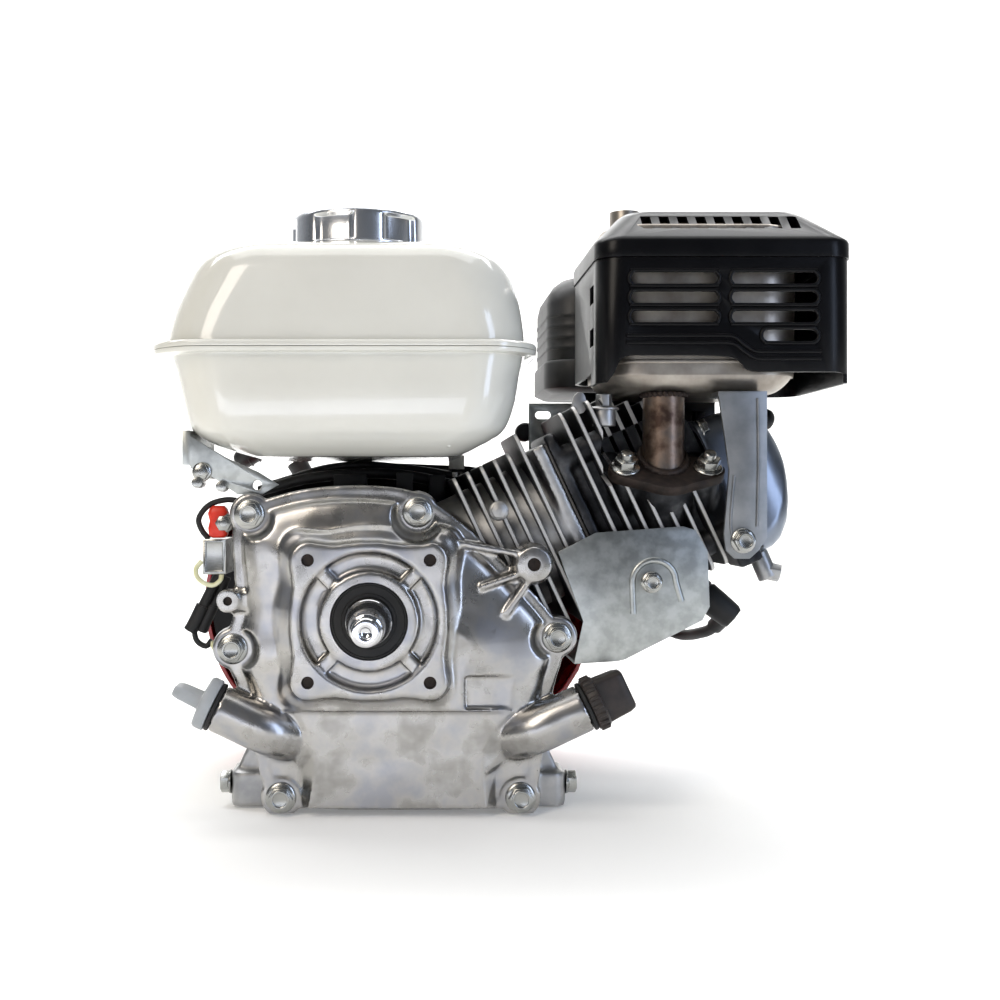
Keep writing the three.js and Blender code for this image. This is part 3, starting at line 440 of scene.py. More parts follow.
def surface(name, colours, metallic, rough, blotch_mm, grain_mm, grain_depth_mm, contrast=(0.35, 0.65),
            waves=None, **sockets):
    """Principled material: colour and roughness drift with a coarse noise, and a fine one is its bump."""
    material = bpy.data.materials.new(name)
    material.use_nodes = True
    tree = material.node_tree
    shader = tree.nodes["Principled BSDF"]
    place = add_node(tree, "ShaderNodeTexCoord")
    blotch = add_node(tree, "ShaderNodeTexNoise", None,
                      {"Scale": per_mm(blotch_mm), "Detail": 4.0, "Roughness": 0.55},
                      {"Vector": (place, "Object")})
    ramp = add_node(tree, "ShaderNodeValToRGB", None, None, {"Fac": (blotch, "Fac")})
    ramp.color_ramp.elements[0].position, ramp.color_ramp.elements[1].position = contrast
    for k, text in enumerate(colours):
        if k >= 2:
            ramp.color_ramp.elements.new(contrast[0]
                                         + (contrast[1] - contrast[0]) * (k - 1) / (len(colours) - 1))
    for element, text in zip(ramp.color_ramp.elements, colours):
        element.color = linear(text)
    spread = add_node(tree, "ShaderNodeMapRange", None, {"To Min": rough[0], "To Max": rough[1]},
                      {"Value": (blotch, "Fac")})
    grain = add_node(tree, "ShaderNodeTexNoise", None, {"Scale": per_mm(grain_mm), "Detail": 3.0},
                     {"Vector": (place, "Object")})
    bump = add_node(tree, "ShaderNodeBump", None, {"Strength": 1.0, "Distance": grain_depth_mm * MM},
                    {"Height": (grain, "Fac")})
    if waves:
        length_mm, height_mm = waves
        swell = add_node(tree, "ShaderNodeTexNoise", None, {"Scale": per_mm(length_mm), "Detail": 1.0},
                         {"Vector": (place, "Object")})
        bump = add_node(tree, "ShaderNodeBump", None, {"Strength": 1.0, "Distance": height_mm * MM},
                        {"Height": (swell, "Fac"), "Normal": (bump, "Normal")})
    tree.links.new(ramp.outputs["Color"], shader.inputs["Base Color"])
    tree.links.new(spread.outputs["Result"], shader.inputs["Roughness"])
    tree.links.new(bump.outputs["Normal"], shader.inputs["Normal"])
    shader.inputs["Metallic"].default_value = metallic
    for key, value in sockets.items():
        shader.inputs[key.replace("_", " ")].default_value = value
    return material


def die_cast_aluminium():
    # Die-cast aluminium, tumbled: bright, with cloudy cool and warm patches where the skin cooled unevenly.
    return surface("die_cast_aluminium", ["#9C9A96", "#B5B3B0", "#A5A6AB"], 1.0, (0.2, 0.36), 22, 0.9,
                   0.012, waves=(26, 1.3))


def dull_cast_aluminium():
    # Sand-blasted cast aluminium of the crankcase: greyer and rougher than the cover.
    return surface("dull_cast_aluminium", ["#9A9B9D", "#BDBCBA"], 1.0, (0.36, 0.52), 18, 0.8, 0.04)


def milled_aluminium():
    # Face-milled aluminium: flat, pale and finely scratched.
    return surface("milled_aluminium", ["#C4C3C1", "#D2D1CF"], 1.0, (0.46, 0.56), 9, 0.35, 0.01)


def finned_aluminium():
    # As-cast fins: their wide faces are painted dark, partly soot and partly painted shade between the fins;
    # bright where the edges were trimmed.
    material = surface("finned_aluminium", ["#141518", "#26272B"], 0.6, (0.4, 0.55), 12, 0.8, 0.03)
    tree = material.node_tree
    shader = tree.nodes["Principled BSDF"]
    ramp = next(n for n in tree.nodes if n.type == "VALTORGB")
    # Painted shade: faces square to the bore take the dark colours, edge faces take the pale one.
    geometry = add_node(tree, "ShaderNodeNewGeometry")
    across = add_node(tree, "ShaderNodeVectorMath", {"operation": "DOT_PRODUCT"}, None,
                      {0: (geometry, "Normal")})
    across.inputs[1].default_value = ALONG
    size = add_node(tree, "ShaderNodeMath", {"operation": "ABSOLUTE"}, None, {0: (across, "Value")})
    edge = add_node(tree, "ShaderNodeMapRange", None, {"From Min": 0.55, "From Max": 0.9},
                    {"Value": (size, 0)})
    mix = add_node(tree, "ShaderNodeMix", {"data_type": "RGBA"}, None,
                   {0: (edge, "Result"), 7: (ramp, "Color")})
    mix.inputs[6].default_value = linear("#C3C2C0")
    tree.links.new(mix.outputs[2], shader.inputs["Base Color"])
    return material


def sooty_aluminium():
    # Cast aluminium of the head between the fins: painted dark, partly old oil and soot and partly painted
    # shade between the fins, metal showing at patches.
    return surface("sooty_aluminium", ["#232427", "#3C3D40", "#6A6B6C"], 0.8, (0.38, 0.55), 16, 0.8, 0.04,
                   (0.4, 0.75))


def silver_paint():
    # Aluminium-flake paint on a pressed cover: even, cool and satin.
    return surface("silver_paint", ["#757C87", "#888F9A"], 0.9, (0.26, 0.34), 30, 0.4, 0.006)


def galvanised_steel():
    # Hot-dip galvanised sheet: pale grey with a faint spangle and slow dents that bend its reflections.
    return surface("galvanised_steel", ["#9EA19F", "#B4B7B5"], 1.0, (0.26, 0.38), 9, 0.5, 0.01, (0.4, 0.6),
                   waves=(40, 0.8))


def zinc_plated_steel():
    # Clear-passivated zinc plate: bright, slightly warm, blotched by handling.
    return surface("zinc_plated_steel", ["#9A9B98", "#B9B9B5"], 1.0, (0.2, 0.32), 14, 0.5, 0.008)


def strap_steel():
    # Cold-rolled strap, zinc flake coated: even mid grey.
    return surface("strap_steel", ["#7C7F82", "#8E9092"], 0.9, (0.38, 0.48), 14, 0.5, 0.012)


def ground_steel():
    # Ground and polished steel shaft: mirror-like with faint turning marks.
    material = surface("ground_steel", ["#C9C9CB", "#DEDEDF"], 1.0, (0.07, 0.16), 9, 0.5, 0.002)
    tree = material.node_tree
    place = next(n for n in tree.nodes if n.type == "TEX_COORD")
    bump = next(n for n in tree.nodes if n.type == "BUMP")
    rings = add_node(tree, "ShaderNodeTexWave", {"wave_type": "BANDS", "bands_direction": "Y"},
                     {"Scale": per_mm(6.0), "Distortion": 0.4}, {"Vector": (place, "Object")})
    tree.links.new(rings.outputs["Fac"], bump.inputs["Height"])
    return material


def heat_tinted_steel():
    # Bare steel tube coloured by exhaust heat: straw, brown and grey bands along it, soot in the pores.
    return surface("heat_tinted_steel", ["#4A3A32", "#7D6B5E", "#625C57"], 0.9, (0.28, 0.46), 14, 0.6, 0.02)


def scaled_steel():
    # Flame-cut steel plate with mill scale: nearly black, slightly brown.
    return surface("scaled_steel", ["#231D1B", "#3A302B"], 0.6, (0.42, 0.6), 6, 0.5, 0.03)


def aluminised_steel():
    # Aluminised sheet of the silencer, warmed to a beige bloom.
    return surface("aluminised_steel", ["#8F877E", "#B7B0A6"], 0.85, (0.3, 0.46), 20, 0.6, 0.012)


def black_enamel():
    # Baked black enamel on pressed steel: satin, with a very fine orange peel.
    return surface("black_enamel", ["#0B0B0D", "#0A0A0C"], 0.0, (0.24, 0.36), 22, 0.8, 0.02,
                   Specular_IOR_Level=0.18)


def white_enamel():
    # Warm white baked enamel on pressed steel: glossy, with long soft reflections.
    return surface("white_enamel", ["#DAD9D0", "#E0DFD6"], 0.0, (0.12, 0.18), 60, 2.2, 0.006, Coat_Weight=0.6,
                   Coat_Roughness=0.06)


def red_enamel():
    # Deep red baked enamel on the fan cover.
    return surface("red_enamel", ["#7E0C0F", "#971114"], 0.0, (0.2, 0.28), 40, 1.6, 0.008, Coat_Weight=0.5,
                   Coat_Roughness=0.1)


def chrome_plate():
    # Bright chrome over a pressed cap, its reflections softened by fine polishing marks.
    return surface("chrome_plate", ["#E6E8EC", "#F2F3F5"], 1.0, (0.2, 0.28), 20, 1.5, 0.002)


def nitrile_rubber():
    # Moulded nitrile rubber: dull black with a dusty skin.
    return surface("nitrile_rubber", ["#0A0A0B", "#131314"], 0.0, (0.5, 0.66), 8, 0.5, 0.02)


def black_nylon():
    # Glass-filled nylon moulding: near black, finely grained.
    return surface("black_nylon", ["#101012", "#19191B"], 0.0, (0.42, 0.55), 12, 0.7, 0.03)


def brown_nylon():
    # Heat-aged nylon oil cap: brown-black and matt.
    return surface("brown_nylon", ["#1C1613", "#2E2520"], 0.0, (0.4, 0.55), 8, 0.7, 0.03)


def grey_nylon():
    # Grey nylon moulding of the dipstick cap.
    return surface("grey_nylon", ["#9CA1A5", "#ABAFB3"], 0.0, (0.4, 0.5), 14, 0.8, 0.015)


def red_vinyl():
    # Soft vinyl terminal boot: saturated red with soft gloss.
    return surface("red_vinyl", ["#C9200F", "#E23A22"], 0.0, (0.28, 0.4), 6, 0.8, 0.03)


def cream_vinyl():
    # Vinyl tie and lead, yellowed cream.
    return surface("cream_vinyl", ["#DAD7A6", "#ECEAC8"], 0.0, (0.35, 0.45), 6, 0.8, 0.01)


def filter_foam():
    # Open-cell filter foam: dark, oiled and pitted.
    return surface("filter_foam", ["#1E1D18", "#39372E"], 0.0, (0.8, 0.95), 3, 1.4, 0.5)


def fibre_gasket():
    # Pressed fibre gasket: flat dark grey-brown.
    return surface("fibre_gasket", ["#3A3733", "#4A4641"], 0.0, (0.7, 0.85), 5, 0.5, 0.03)


def floor_paper():
    # Seamless pale studio paper, with a faint glow of its own that keeps it white.
    return surface("floor_paper", ["#F4F4F2", "#F8F8F6"], 0.0, (0.85, 0.95), 300, 1.5, 0.02,
                   Emission_Color=linear("#FFFFFF"), Emission_Strength=0.16)


MAKERS = [
    die_cast_aluminium, sooty_aluminium, dull_cast_aluminium, milled_aluminium, finned_aluminium,
    silver_paint, galvanised_steel, zinc_plated_steel, strap_steel, ground_steel, heat_tinted_steel,
    scaled_steel, aluminised_steel, black_enamel, white_enamel, red_enamel, chrome_plate,
    nitrile_rubber, black_nylon, brown_nylon, grey_nylon, red_vinyl, cream_vinyl, filter_foam,
    fibre_gasket, floor_paper,
]
FINISH = {}


def put(obj, finishes, body="root", nodes=(), angle=38):
    """Gives a piece its finishes, its shading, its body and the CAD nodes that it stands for."""
    finishes = [finishes] if isinstance(finishes, str) else finishes
    if not obj.data.polygons:
        raise RuntimeError(f"{obj.name} came out empty")
    obj.data.materials.clear()
    for name in finishes:
        obj.data.materials.append(FINISH[name])
    obj.data.shade_smooth()
    obj.data.set_sharp_from_angle(angle=math.radians(angle))
    if body:
        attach(obj, body)
    if nodes:
        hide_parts(*nodes)


def paint(obj, index, chosen):
    """Gives the faces picked by chosen(centre in mm, normal) another of the piece's finishes."""
    for face in obj.data.polygons:
        if chosen(face.center / MM, face.normal):
            face.material_index = index


def turned_y(profile, x, z, sides=64):
    """Solid of revolution about an axis along Y, from (radius, y) pairs."""
    return shape_turned(profile, (x, 0, z), Y_AXIS, sides)


def turned_z(profile, x, y, sides=64):
    return shape_turned(profile, (x, y, 0), Z_AXIS, sides)


def loft_u(levels, corner=10, between=1):
    """Loft along the bore from rows (u, v0, v1, y0, y1, corner radius)."""
    points, faces = shape_loft(levels, corner, between)
    return leaned(outward(([Vector((p.z, p.y, p.x)) for p in points], faces)))


def case_outline(inset, rounds=2):
    cx, cz = CASE_CENTRE
    made = []
    for x, z in CASE_CORNERS:
        length = math.hypot(x - cx, z - cz)
        scale = (length - inset) / length
        made.append((cx + (x - cx) * scale, cz + (z - cz) * scale))
    return smooth_outline(made, rounds)


def pad_outline(grow):
    """Wavy square of the mounting pad: a round lobe at each corner and a slight waist between."""
    made = []
    for quarter in range(4):
        spin = Matrix.Rotation(-quarter * math.pi / 2, 3, "Y")
        side = [(41.7, -6), (41.7, 0), (41.6, 6), (40.8, 13), (40.2, 18), (40.5, 23), (41.3, 28)]
        side += [(PAD_HOLE + 9.3 * math.cos(math.radians(a)), PAD_HOLE + 9.3 * math.sin(math.radians(a)))
                 for a in range(0, 91, 9)]
        side += [(z, x) for x, z in reversed(side[2:7])]
        for x, z in side:
            point = spin @ Vector((x, 0, z))
            point = point * (1 + grow / point.length)
            made.append((point.x, SHAFT_Z + point.z))
    return made


def flange_bolt(x, z, seat, size=12.0, flange=8.4, height=6.5, shank=0.0):
    """Flanged hexagon bolt whose head stands towards -Y on a seat."""
    dome = turned_y([(0, seat), (flange, seat - 0.2), (flange, seat - 1.1), (flange - 1.4, seat - 2.1),
                     (0, seat - 2.4)], x, z, 40)
    head = hexagon(size, (x, seat - 1, z), (x, seat - height, z))
    top = seat - height
    dish = turned_y([(0, top + 0.5), (size * 0.44, top + 0.5), (size * 0.44, top - 0.6),
                     (size * 0.41, top - 0.85), (size * 0.34, top - 0.85), (size * 0.31, top - 0.6),
                     (size * 0.31, top - 0.05), (0, top - 0.05)], x, z, 40)
    stem = rod_y(4, x, z, seat - 0.5, seat + shank) if shank else dome
    return joined([dome, head, dish, stem])


def aimed_bolt(origin, direction, size=10.0, flange=7.0, height=5.5, shank=0.0):
    """Flanged hexagon bolt on a seat at a point, with its head along a direction."""
    origin, direction = Vector(origin), Vector(direction).normalized()
    dome = shape_turned([(0, 0), (flange, 0), (flange, 1.0), (flange - 1.2, 1.9), (0, 2.2)], origin,
                        direction, 40)
    head = hexagon(size, origin + direction * 0.6, origin + direction * height)
    stem = shape_rod(size * 0.3, origin - direction * shank, origin + direction * (height + 0.2), 24, 0.4)
    return joined([dome, head, stem])


def slot_shape(x0, x1, z0, z1, y0, y1):
    """Slot with round ends, cut along Y."""
    r = (z1 - z0) / 2
    ring = []
    for cx, start in ((x1 - r, -90), (x0 + r, 90)):
        ring += [(cx + r * math.cos(math.radians(start + 15 * k)),
                  z0 + r + r * math.sin(math.radians(start + 15 * k))) for k in range(13)]
    return slab(ring, y0, y1)


# Sizes and colours that the panel shows.
class EngineSettings(PropertyGroup):
    cover_voxel: FloatProperty(name="Cover casting detail", description="Grain of the side cover's remesh",
                               default=0.0009, min=0.0005, unit="LENGTH")
    case_voxel: FloatProperty(name="Case casting detail", description="Grain of the other castings' remesh",
                              default=0.0013, min=0.0006, unit="LENGTH")
    fin_thickness: FloatProperty(name="Fin thickness", description="Thickness of a cooling fin",
                                 default=0.0024, min=0.001, unit="LENGTH")
    sheet_edge: FloatProperty(name="Sheet edge", description="Rounding of pressed sheet edges",
                              default=0.0006, min=0.0, unit="LENGTH")
    guard_sheet: FloatProperty(name="Guard sheet", description="Thickness of the muffler guard's sheet",
                               default=0.002, min=0.0005, unit="LENGTH")
    cable: FloatProperty(name="Lead diameter", description="Diameter of the thin electric leads",
                         default=0.0032, min=0.001, unit="LENGTH")
    tank_colour: FloatVectorProperty(name="Tank", description="Enamel of the fuel tank", subtype="COLOR",
                                     size=4, default=linear("#DAD9D0"), min=0, max=1)
    housing_colour: FloatVectorProperty(name="Housing", description="Enamel of the fan cover",
                                        subtype="COLOR", size=4, default=linear("#7C0E10"), min=0, max=1)
    guard_colour: FloatVectorProperty(name="Guard", description="Enamel of the muffler guard",
                                      subtype="COLOR", size=4, default=linear("#070709"), min=0, max=1)
    boot_colour: FloatVectorProperty(name="Boot", description="Vinyl of the terminal boot", subtype="COLOR",
                                     size=4, default=linear("#D42A18"), min=0, max=1)


def settings():
    return bpy.context.scene.engine_settings


def in_mm(length):
    return length / MM


class ENGINE_OT_finishes(Operator):
    """Makes every finish, and takes the painted ones' colours from the settings"""
    bl_idname = "engine.finishes"
    bl_label = "Finishes"

    def execute(self, context):
        for maker in MAKERS:
            FINISH[maker.__name__] = maker()
        painted = {"white_enamel": settings().tank_colour, "red_enamel": settings().housing_colour,
                   "black_enamel": settings().guard_colour, "red_vinyl": settings().boot_colour}
        for name, colour in painted.items():
            ramp = next(n for n in FINISH[name].node_tree.nodes if n.type == "VALTORGB")
            ramp.color_ramp.elements[0].color = colour
        if len(FINISH) != len(MAKERS):
            raise RuntimeError("a finish is missing")
        return {"FINISHED"}


class ENGINE_OT_crankcase(Operator):
    """Crankcase casting with its feet, barrel and deck, its joint gasket and the drain bolts"""
    bl_idname = "engine.crankcase"
    bl_label = "Crankcase"

    def execute(self, context):
        voxel = in_mm(settings().case_voxel)
        add = [slab(case_outline(-0.5), FACE_Y, CASE_HIGH.y)]
        add += [rod_y(10, x, max(z, 10.2), FACE_Y, -38) for x, z in COVER_BOLTS]
        add += [leaned(shape_rod(41, (40, CYLINDER_Y, 0), (128, CYLINDER_Y, 0))),
                leaned(shape_box(121, 128, -50, 34, -46, 46)),
                shape_loft([(0, -78, 109, -55, 55, 7), (19, -78, 109, -55, 55, 7)])]
        for x, side in ((-70, -1), (100, 1)):
            for y in (-50, 0, 46):
                add.append(slab([(x + side * 6, 18), (x - side * 16, 64), (x - side * 20, 18)], y, y + 5))
        for z in (70, 100, 130):
            add.append(slab([(-76, z), (-76, z + 4), (-60, z + 4), (-60, z)], FACE_Y + 12, 50))
        cut = [shape_box(x0, x1, -24, 24, 12, 60) for x0, x1 in ((-90, -58), (89, 120))]
        cut += [shape_box(x0, x1, -60, 60, 19.2, 40) for x0, x1 in ((-90, -79), (110, 120))]
        trim = [shape_loft([(-1, x - 7, x + 7, y - 4.5, y + 4.5, 4.4),
                            (60, x - 7, x + 7, y - 4.5, y + 4.5, 4.4)], 6) for x in (-65.5, 96.5)
                for y in (-37.75, 37.75)]
        trim += [shape_box(-200, 200, -200, 200, -10, 0)]
        case = casting("crankcase", add, cut, voxel, 5, 0.45, trim)
        paint(case, 1, lambda c, n: c.z < 0.1 or (n.y < -0.97 and (c.y < FACE_Y + 0.4 or c.z < 19)))
        put(case, ["dull_cast_aluminium", "milled_aluminium"], nodes=["crankcase"])
        gasket = cut_piece("side_cover_gasket", [slab(case_outline(0), FACE_Y - 0.9, FACE_Y - 0.3)],
                           [slab(case_outline(8), -70, -50)], 0)
        put(gasket, "fibre_gasket", nodes=["side_cover_gasket"])
        for side, x, out in (("left", -78.3, -1), ("right", 109.3, 1)):
            bolt = plain_piece(f"drain_bolt_{side}", [aimed_bolt((x, -45, 12), (out, 0, 0), 10.8, 6.6, 6)],
                               0.2)
            put(bolt, "zinc_plated_steel", nodes=[f"drain_bolt_{side}"])
        return {"FINISHED"}


BALLS, BALL_RADIUS, BALL_CIRCLE = 8, 3.4, 18.7


class ENGINE_OT_side_cover(Operator):
    """Die-cast side cover with its mounting pad, ribs, lugs and filler necks, its seal and the bearings"""
    bl_idname = "engine.side_cover"
    bl_label = "Side cover"

    def execute(self, context):
        voxel = in_mm(settings().cover_voxel)
        add = [slab(case_outline(-0.5), FLANGE_Y, COVER_BACK_Y),
               shape_skin([[(x, y, z) for x, z in case_outline(inset)]
                           for y, inset in ((-66, 6.5), (-70, 7.5), (-72.2, 9), (-73.8, 12), (-75, 16),
                                            (-76.2, 22), (-77.6, 30), (-79.2, 40), (-80.4, 50))])]
        add.append(shape_skin([[(x, y, z) for x, z in pad_outline(grow)] for y, grow in
                               ((-66, 13), (-76, 10), (-79.6, 6.5), (-81.6, 3), (-83.4, 0.8), (PAD_Y, 0))]))
        add += [turned_y([(0, -60.9), (12, COVER_BACK_Y), (11, FLANGE_Y), (0, FLANGE_Y)], x, z, 36)
                for x, z in COVER_BOLTS]
        add += [turned_y([(0, -64), (12, -66), (9.4, -79), (0, -79)], *LUG, 40)]
        for (x0, z0), (x1, z1) in (((86, 140.6), (47, 147.4)), ((84, 131.6), (60, 123.6)),
                                   ((88, 130), (73, 108.4))):
            reach = Vector((x1 - x0, 0, z1 - z0)).normalized()
            square = Vector((-reach.z, 0, reach.x)) * 1.7
            a, b = Vector((x0, 0, z0)), Vector((x1, 0, z1))
            add.append(slab([(p.x, p.z) for p in (a - square, b - square, b + square, a + square)], -77.6,
                            -64))
        add += [rod_y(6.5, *SMALL_LUG, -72, COVER_BACK_Y), shape_box(-78, -64, -71, -62, 110.5, 120.7)]
        cut = [turned_y([(26.4, PAD_Y - 1), (36.9, PAD_Y - 1), (36.5, -80.5), (35, -79.2), (28, -79.2),
                         (26.6, -80.5)], 0, SHAFT_Z, 72)]
        cut += [slab([(51, 58), (91, 58), (93, 76), (51, 76)], -90, -76.2),
                shape_box(-64, 98, -95, -70.4, -5, 57), slab(case_outline(17), -68, -58)]
        cut += [turned_y([(0, -95), (19, -95), (15.4, -76), (12.6, -71), (11.2, FLANGE_Y - 0.4),
                          (0, FLANGE_Y - 0.4)], x, z, 36) for x, z in COVER_BOLTS]
        top = [(-38, 57), (-33, 46), (-30, 34), (-30, 22), (-33, 4.5), (63, 4.5), (61, 22), (61, 34),
               (66, 46), (77, 57)]
        base = [(-60, 57), (-53, 46), (-46, 34), (-37, 24), (-36, 3), (68, 3), (69, 24), (78, 34), (86, 46),
                (93, 57)]
        ribs = [shape_skin([[(x, y, z) for x, z in ring]
                            for y, ring in ((-66, base), (-70.4, base), (-76.6, top))])]
        for at, out in NECKS.values():
            sunk = [at - out * reach + Y_AXIS * depth for reach, depth in
                    ((0, 0), (12, 0), (24, 0), (31, 1.5), (38, 6), (46, 14), (52, 20))]
            ribs.append(shape_tube(sunk, 12.9, 48, 2))
        for side in (1, -1):
            for end in (1, -1):
                reach = Vector((side * end, 0, end)) * 0.7071
                square = Vector((-reach.z, 0, reach.x)) * 3.2
                foot, top = reach * 25 + Vector((0, 0, SHAFT_Z)), reach * 38 + Vector((0, 0, SHAFT_Z))
                ribs.append(slab([(p.x, p.z) for p in (foot - square, top - square, top + square,
                                                       foot + square)], PAD_Y + 1.4, -76))
        trim = [shape_box(-60, 60, -120, PAD_Y, 30, 190), shape_box(-200, 200, -200, 200, -20, 0)]
        trim += [rod_y(3.4, x, SHAFT_Z + z, PAD_Y - 2, PAD_Y + 15) for x in (-PAD_HOLE, PAD_HOLE)
                 for z in (-PAD_HOLE, PAD_HOLE)]
        trim += [turned_y([(0, PAD_Y - 2), (21.4, PAD_Y - 2), (SEAL_HIGH.x + 0.3, PAD_Y + 0.8),
                           (SEAL_HIGH.x + 0.3, -79), (26, -79), (26, -58), (0, -58)], 0, SHAFT_Z, 72),
                 rod_y(3.6, *LUG, -90, -58), rod_y(2.5, *SMALL_LUG, -90, -58),
                 rod_y(10.6, *LUG, -90, -78.7)]
        trim += [rod_y(4, x, z, -90, -58) for x, z in COVER_BOLTS] + [rod_y(9.3, x, z, -90, FLANGE_Y)
                                                                      for x, z in COVER_BOLTS]
        trim += [shape_rod(radius, at - out * depth, at + out * 5) for at, out in NECKS.values()
                 for radius, depth in ((9, 24), (2.4, 29))]
        trim += [shape_turned([(0, -0.2), (18, -0.2), (18, 20), (0, 20)], at, out)
                 for at, out in NECKS.values()]
        cover = casting("side_cover", add, cut, voxel, 5, 0.4, trim, ribs)
        paint(cover, 1, lambda c, n: n.y < -0.97 and (c.y < PAD_Y + 0.2 or abs(c.y - FLANGE_Y) < 0.1
                                                      or abs(c.y + 78.7) < 0.1))
        put(cover, ["die_cast_aluminium", "milled_aluminium"], nodes=["side_cover"])
        # Dark steel rods sunk in the pad and lug holes: painted shade inside the holes.
        hole_shadow_rods = [rod_y(3.3, x, SHAFT_Z + z, PAD_Y + 2.4, PAD_Y + 14) for x in (-PAD_HOLE, PAD_HOLE)
                   for z in (-PAD_HOLE, PAD_HOLE)]
        hole_shadow_rods += [rod_y(3.5, *LUG, -76, -62), rod_y(2.4, *SMALL_LUG, -70, -62)]
        put(plain_piece("painted_hole_shadow", hole_shadow_rods), "scaled_steel")
        lips = [(12.7, -85.0), (13.2, -85.6), (14.4, -85.8), (15, -85.2), (18.8, -85.4), (19.4, -86.0),
                (20.3, -85.8), (20.3, -80), (13.2, -80)]
        put(plain_piece("shaft_seal", [turned_y(lips, 0, SHAFT_Z, 96)]), "nitrile_rubber",
            nodes=["shaft_seal"])
        for name, y0, y1 in (("drive_side_bearing", -78.6, -64.4), ("fan_side_bearing", 40.3, 54.6)):
            rings = [turned_y([(a, y0), (b, y0), (b, y1), (a, y1)], 0, SHAFT_Z, 64)
                     for a, b in ((12.8, 16.4), (21, 25.7))]
            rings += [shape_turned([(0, -BALL_RADIUS), (2.4, -2.4), (BALL_RADIUS, 0), (2.4, 2.4),
                                    (0, BALL_RADIUS)], (BALL_CIRCLE * math.cos(k * math.pi / 4),
                                                        (y0 + y1) / 2,
                                                        SHAFT_Z + BALL_CIRCLE * math.sin(k * math.pi / 4)),
                                   Y_AXIS, 12) for k in range(BALLS)]
            put(plain_piece(name, rings), "ground_steel", nodes=[name])
        return {"FINISHED"}


class ENGINE_OT_bolts(Operator):
    """The six flanged bolts round the side cover"""
    bl_idname = "engine.bolts"
    bl_label = "Cover bolts"

    def execute(self, context):
        for number, (x, z) in enumerate(COVER_BOLTS, 1):
            bolt = plain_piece(f"cover_bolt_{number}", [flange_bolt(x, z, FLANGE_Y - 0.1, shank=20)], 0.15)
            put(bolt, "zinc_plated_steel", nodes=[f"cover_bolt_{number}"])
        return {"FINISHED"}


# Crank: reach of the pin, and radii of the pin, the counterweights and the boss round the pin.
CRANK_THROW, PIN_RADIUS, WEIGHT_RADIUS, PIN_BOSS = 27, 13, 44, 17
WEB_STRETCHES = ((-31, -19), (3, 15))


class ENGINE_OT_shaft(Operator):
    """Crankshaft: tapered drive end, journals, webs, pin and timing gear, and the rod's big end on it"""
    bl_idname = "engine.shaft"
    bl_label = "Crankshaft"

    def execute(self, context):
        front = [(0, -142), (2.6, -143.4), (2.6, -144.4), (3.4, -145), (6.4, -145), (7.3, -144),
                 (7.3, -135.2), (7.0, -134.9), (7.0, -134.5), (8.2, -134), (11.9, -94.6), (11.5, -94.2),
                 (11.5, -93.2), (12.1, -92.8), (12.5, -92), (12.5, -50), (16, -50), (16, -42), (12.5, -42),
                 (12.5, -30), (0, -30)]
        rear = [(0, 14), (16, 14), (16, 38), (12.5, 38), (12.5, 60), (9, 98), (6, 98), (6, 122), (0, 122)]
        pin = bore_point(CRANK_THROW, 0)
        shapes = [turned_y(front, 0, SHAFT_Z, 96), turned_y(rear, 0, SHAFT_Z, 64),
                  rod_y(PIN_RADIUS, pin.x, pin.z, -20, 4)]
        for y0, y1 in WEB_STRETCHES:
            web = [(WEIGHT_RADIUS * math.cos(a), WEIGHT_RADIUS * math.sin(a)) for a in
                   (TILT + math.pi * (0.62 + 0.76 * k / 24) for k in range(25))]
            web += [(CRANK_THROW * ALONG.x + PIN_BOSS * math.cos(a),
                     CRANK_THROW * ALONG.z + PIN_BOSS * math.sin(a))
                    for a in (TILT + math.pi * (k / 16 - 0.5) for k in range(17))]
            shapes.append(slab([(x, z + SHAFT_Z) for x, z in web], y0, y1))
        shapes.append(slab(gear_outline(18), -42, -36))
        put(plain_piece("crankshaft", shapes, 0.3), "ground_steel", "crank", ["crankshaft"])
        end = cut_piece("big_end", [rod_y(19.5, pin.x, pin.z, -17, 1)], [rod_y(13.3, pin.x, pin.z, -20, 4)],
                        0.8)
        put(end, "dull_cast_aluminium", "crank", ["big_end"])
        return {"FINISHED"}


def gear_outline(teeth):
    """Toothed outline of the timing gear about the shaft."""
    radius, step, made = teeth * 2 / 3 * 1.7333, 2 * math.pi / teeth, []
    for k in range(teeth):
        for at, r in ((-0.3, -1.3), (-0.14, 0.6), (0.14, 0.6), (0.3, -1.3)):
            angle = (k + at) * step
            made.append(((radius + r) * math.cos(angle), SHAFT_Z + (radius + r) * math.sin(angle)))
    return made


def fin(u, v0, v1, y0, y1, thickness):
    """One cooling fin square to the bore, with its edges eased."""
    return loft_u([(u, v0 + 0.5, v1 - 0.5, y0 + 0.5, y1 - 0.5, 5.5), (u + 0.4, v0, v1, y0, y1, 6),
                   (u + thickness - 0.4, v0, v1, y0, y1, 6),
                   (u + thickness, v0 + 0.5, v1 - 0.5, y0 + 0.5, y1 - 0.5, 5.5)], 5)


# Stretches along the bore from the shaft: the deck, the end of the head, and the first fins.
DECK_U, HEAD_END_U = 129.8, 211.7
BARREL_FIN_U, BARREL_FINS, HEAD_FIN_U, HEAD_FINS = 73, 6, 141.8, 7
FIN_FRONT_Y, FIN_BACK_Y = -56, 40

# The exhaust port and the spark plug: where each seat is, and which way it faces.
PORT = Vector((165, -49, 183))
PORT_OUT = Vector((0, -math.cos(math.radians(55)), math.sin(math.radians(55))))
PLUG_AT = Vector((190, 12, 122))
PLUG_OUT = Vector((0.75, -0.2, -0.63)).normalized()


def exhaust_room():
    """The wedge above the exhaust port that the fins leave free."""
    along = (PORT_OUT.z, -PORT_OUT.y)
    start = PORT + PORT_OUT * 0.1

    def edge(d):
        return (start.y + along[0] * d, start.z + along[1] * d)
    return slab_x([edge(-30), edge(26), (edge(26)[0], 260), (edge(-30)[0], 260)], 129, 201)


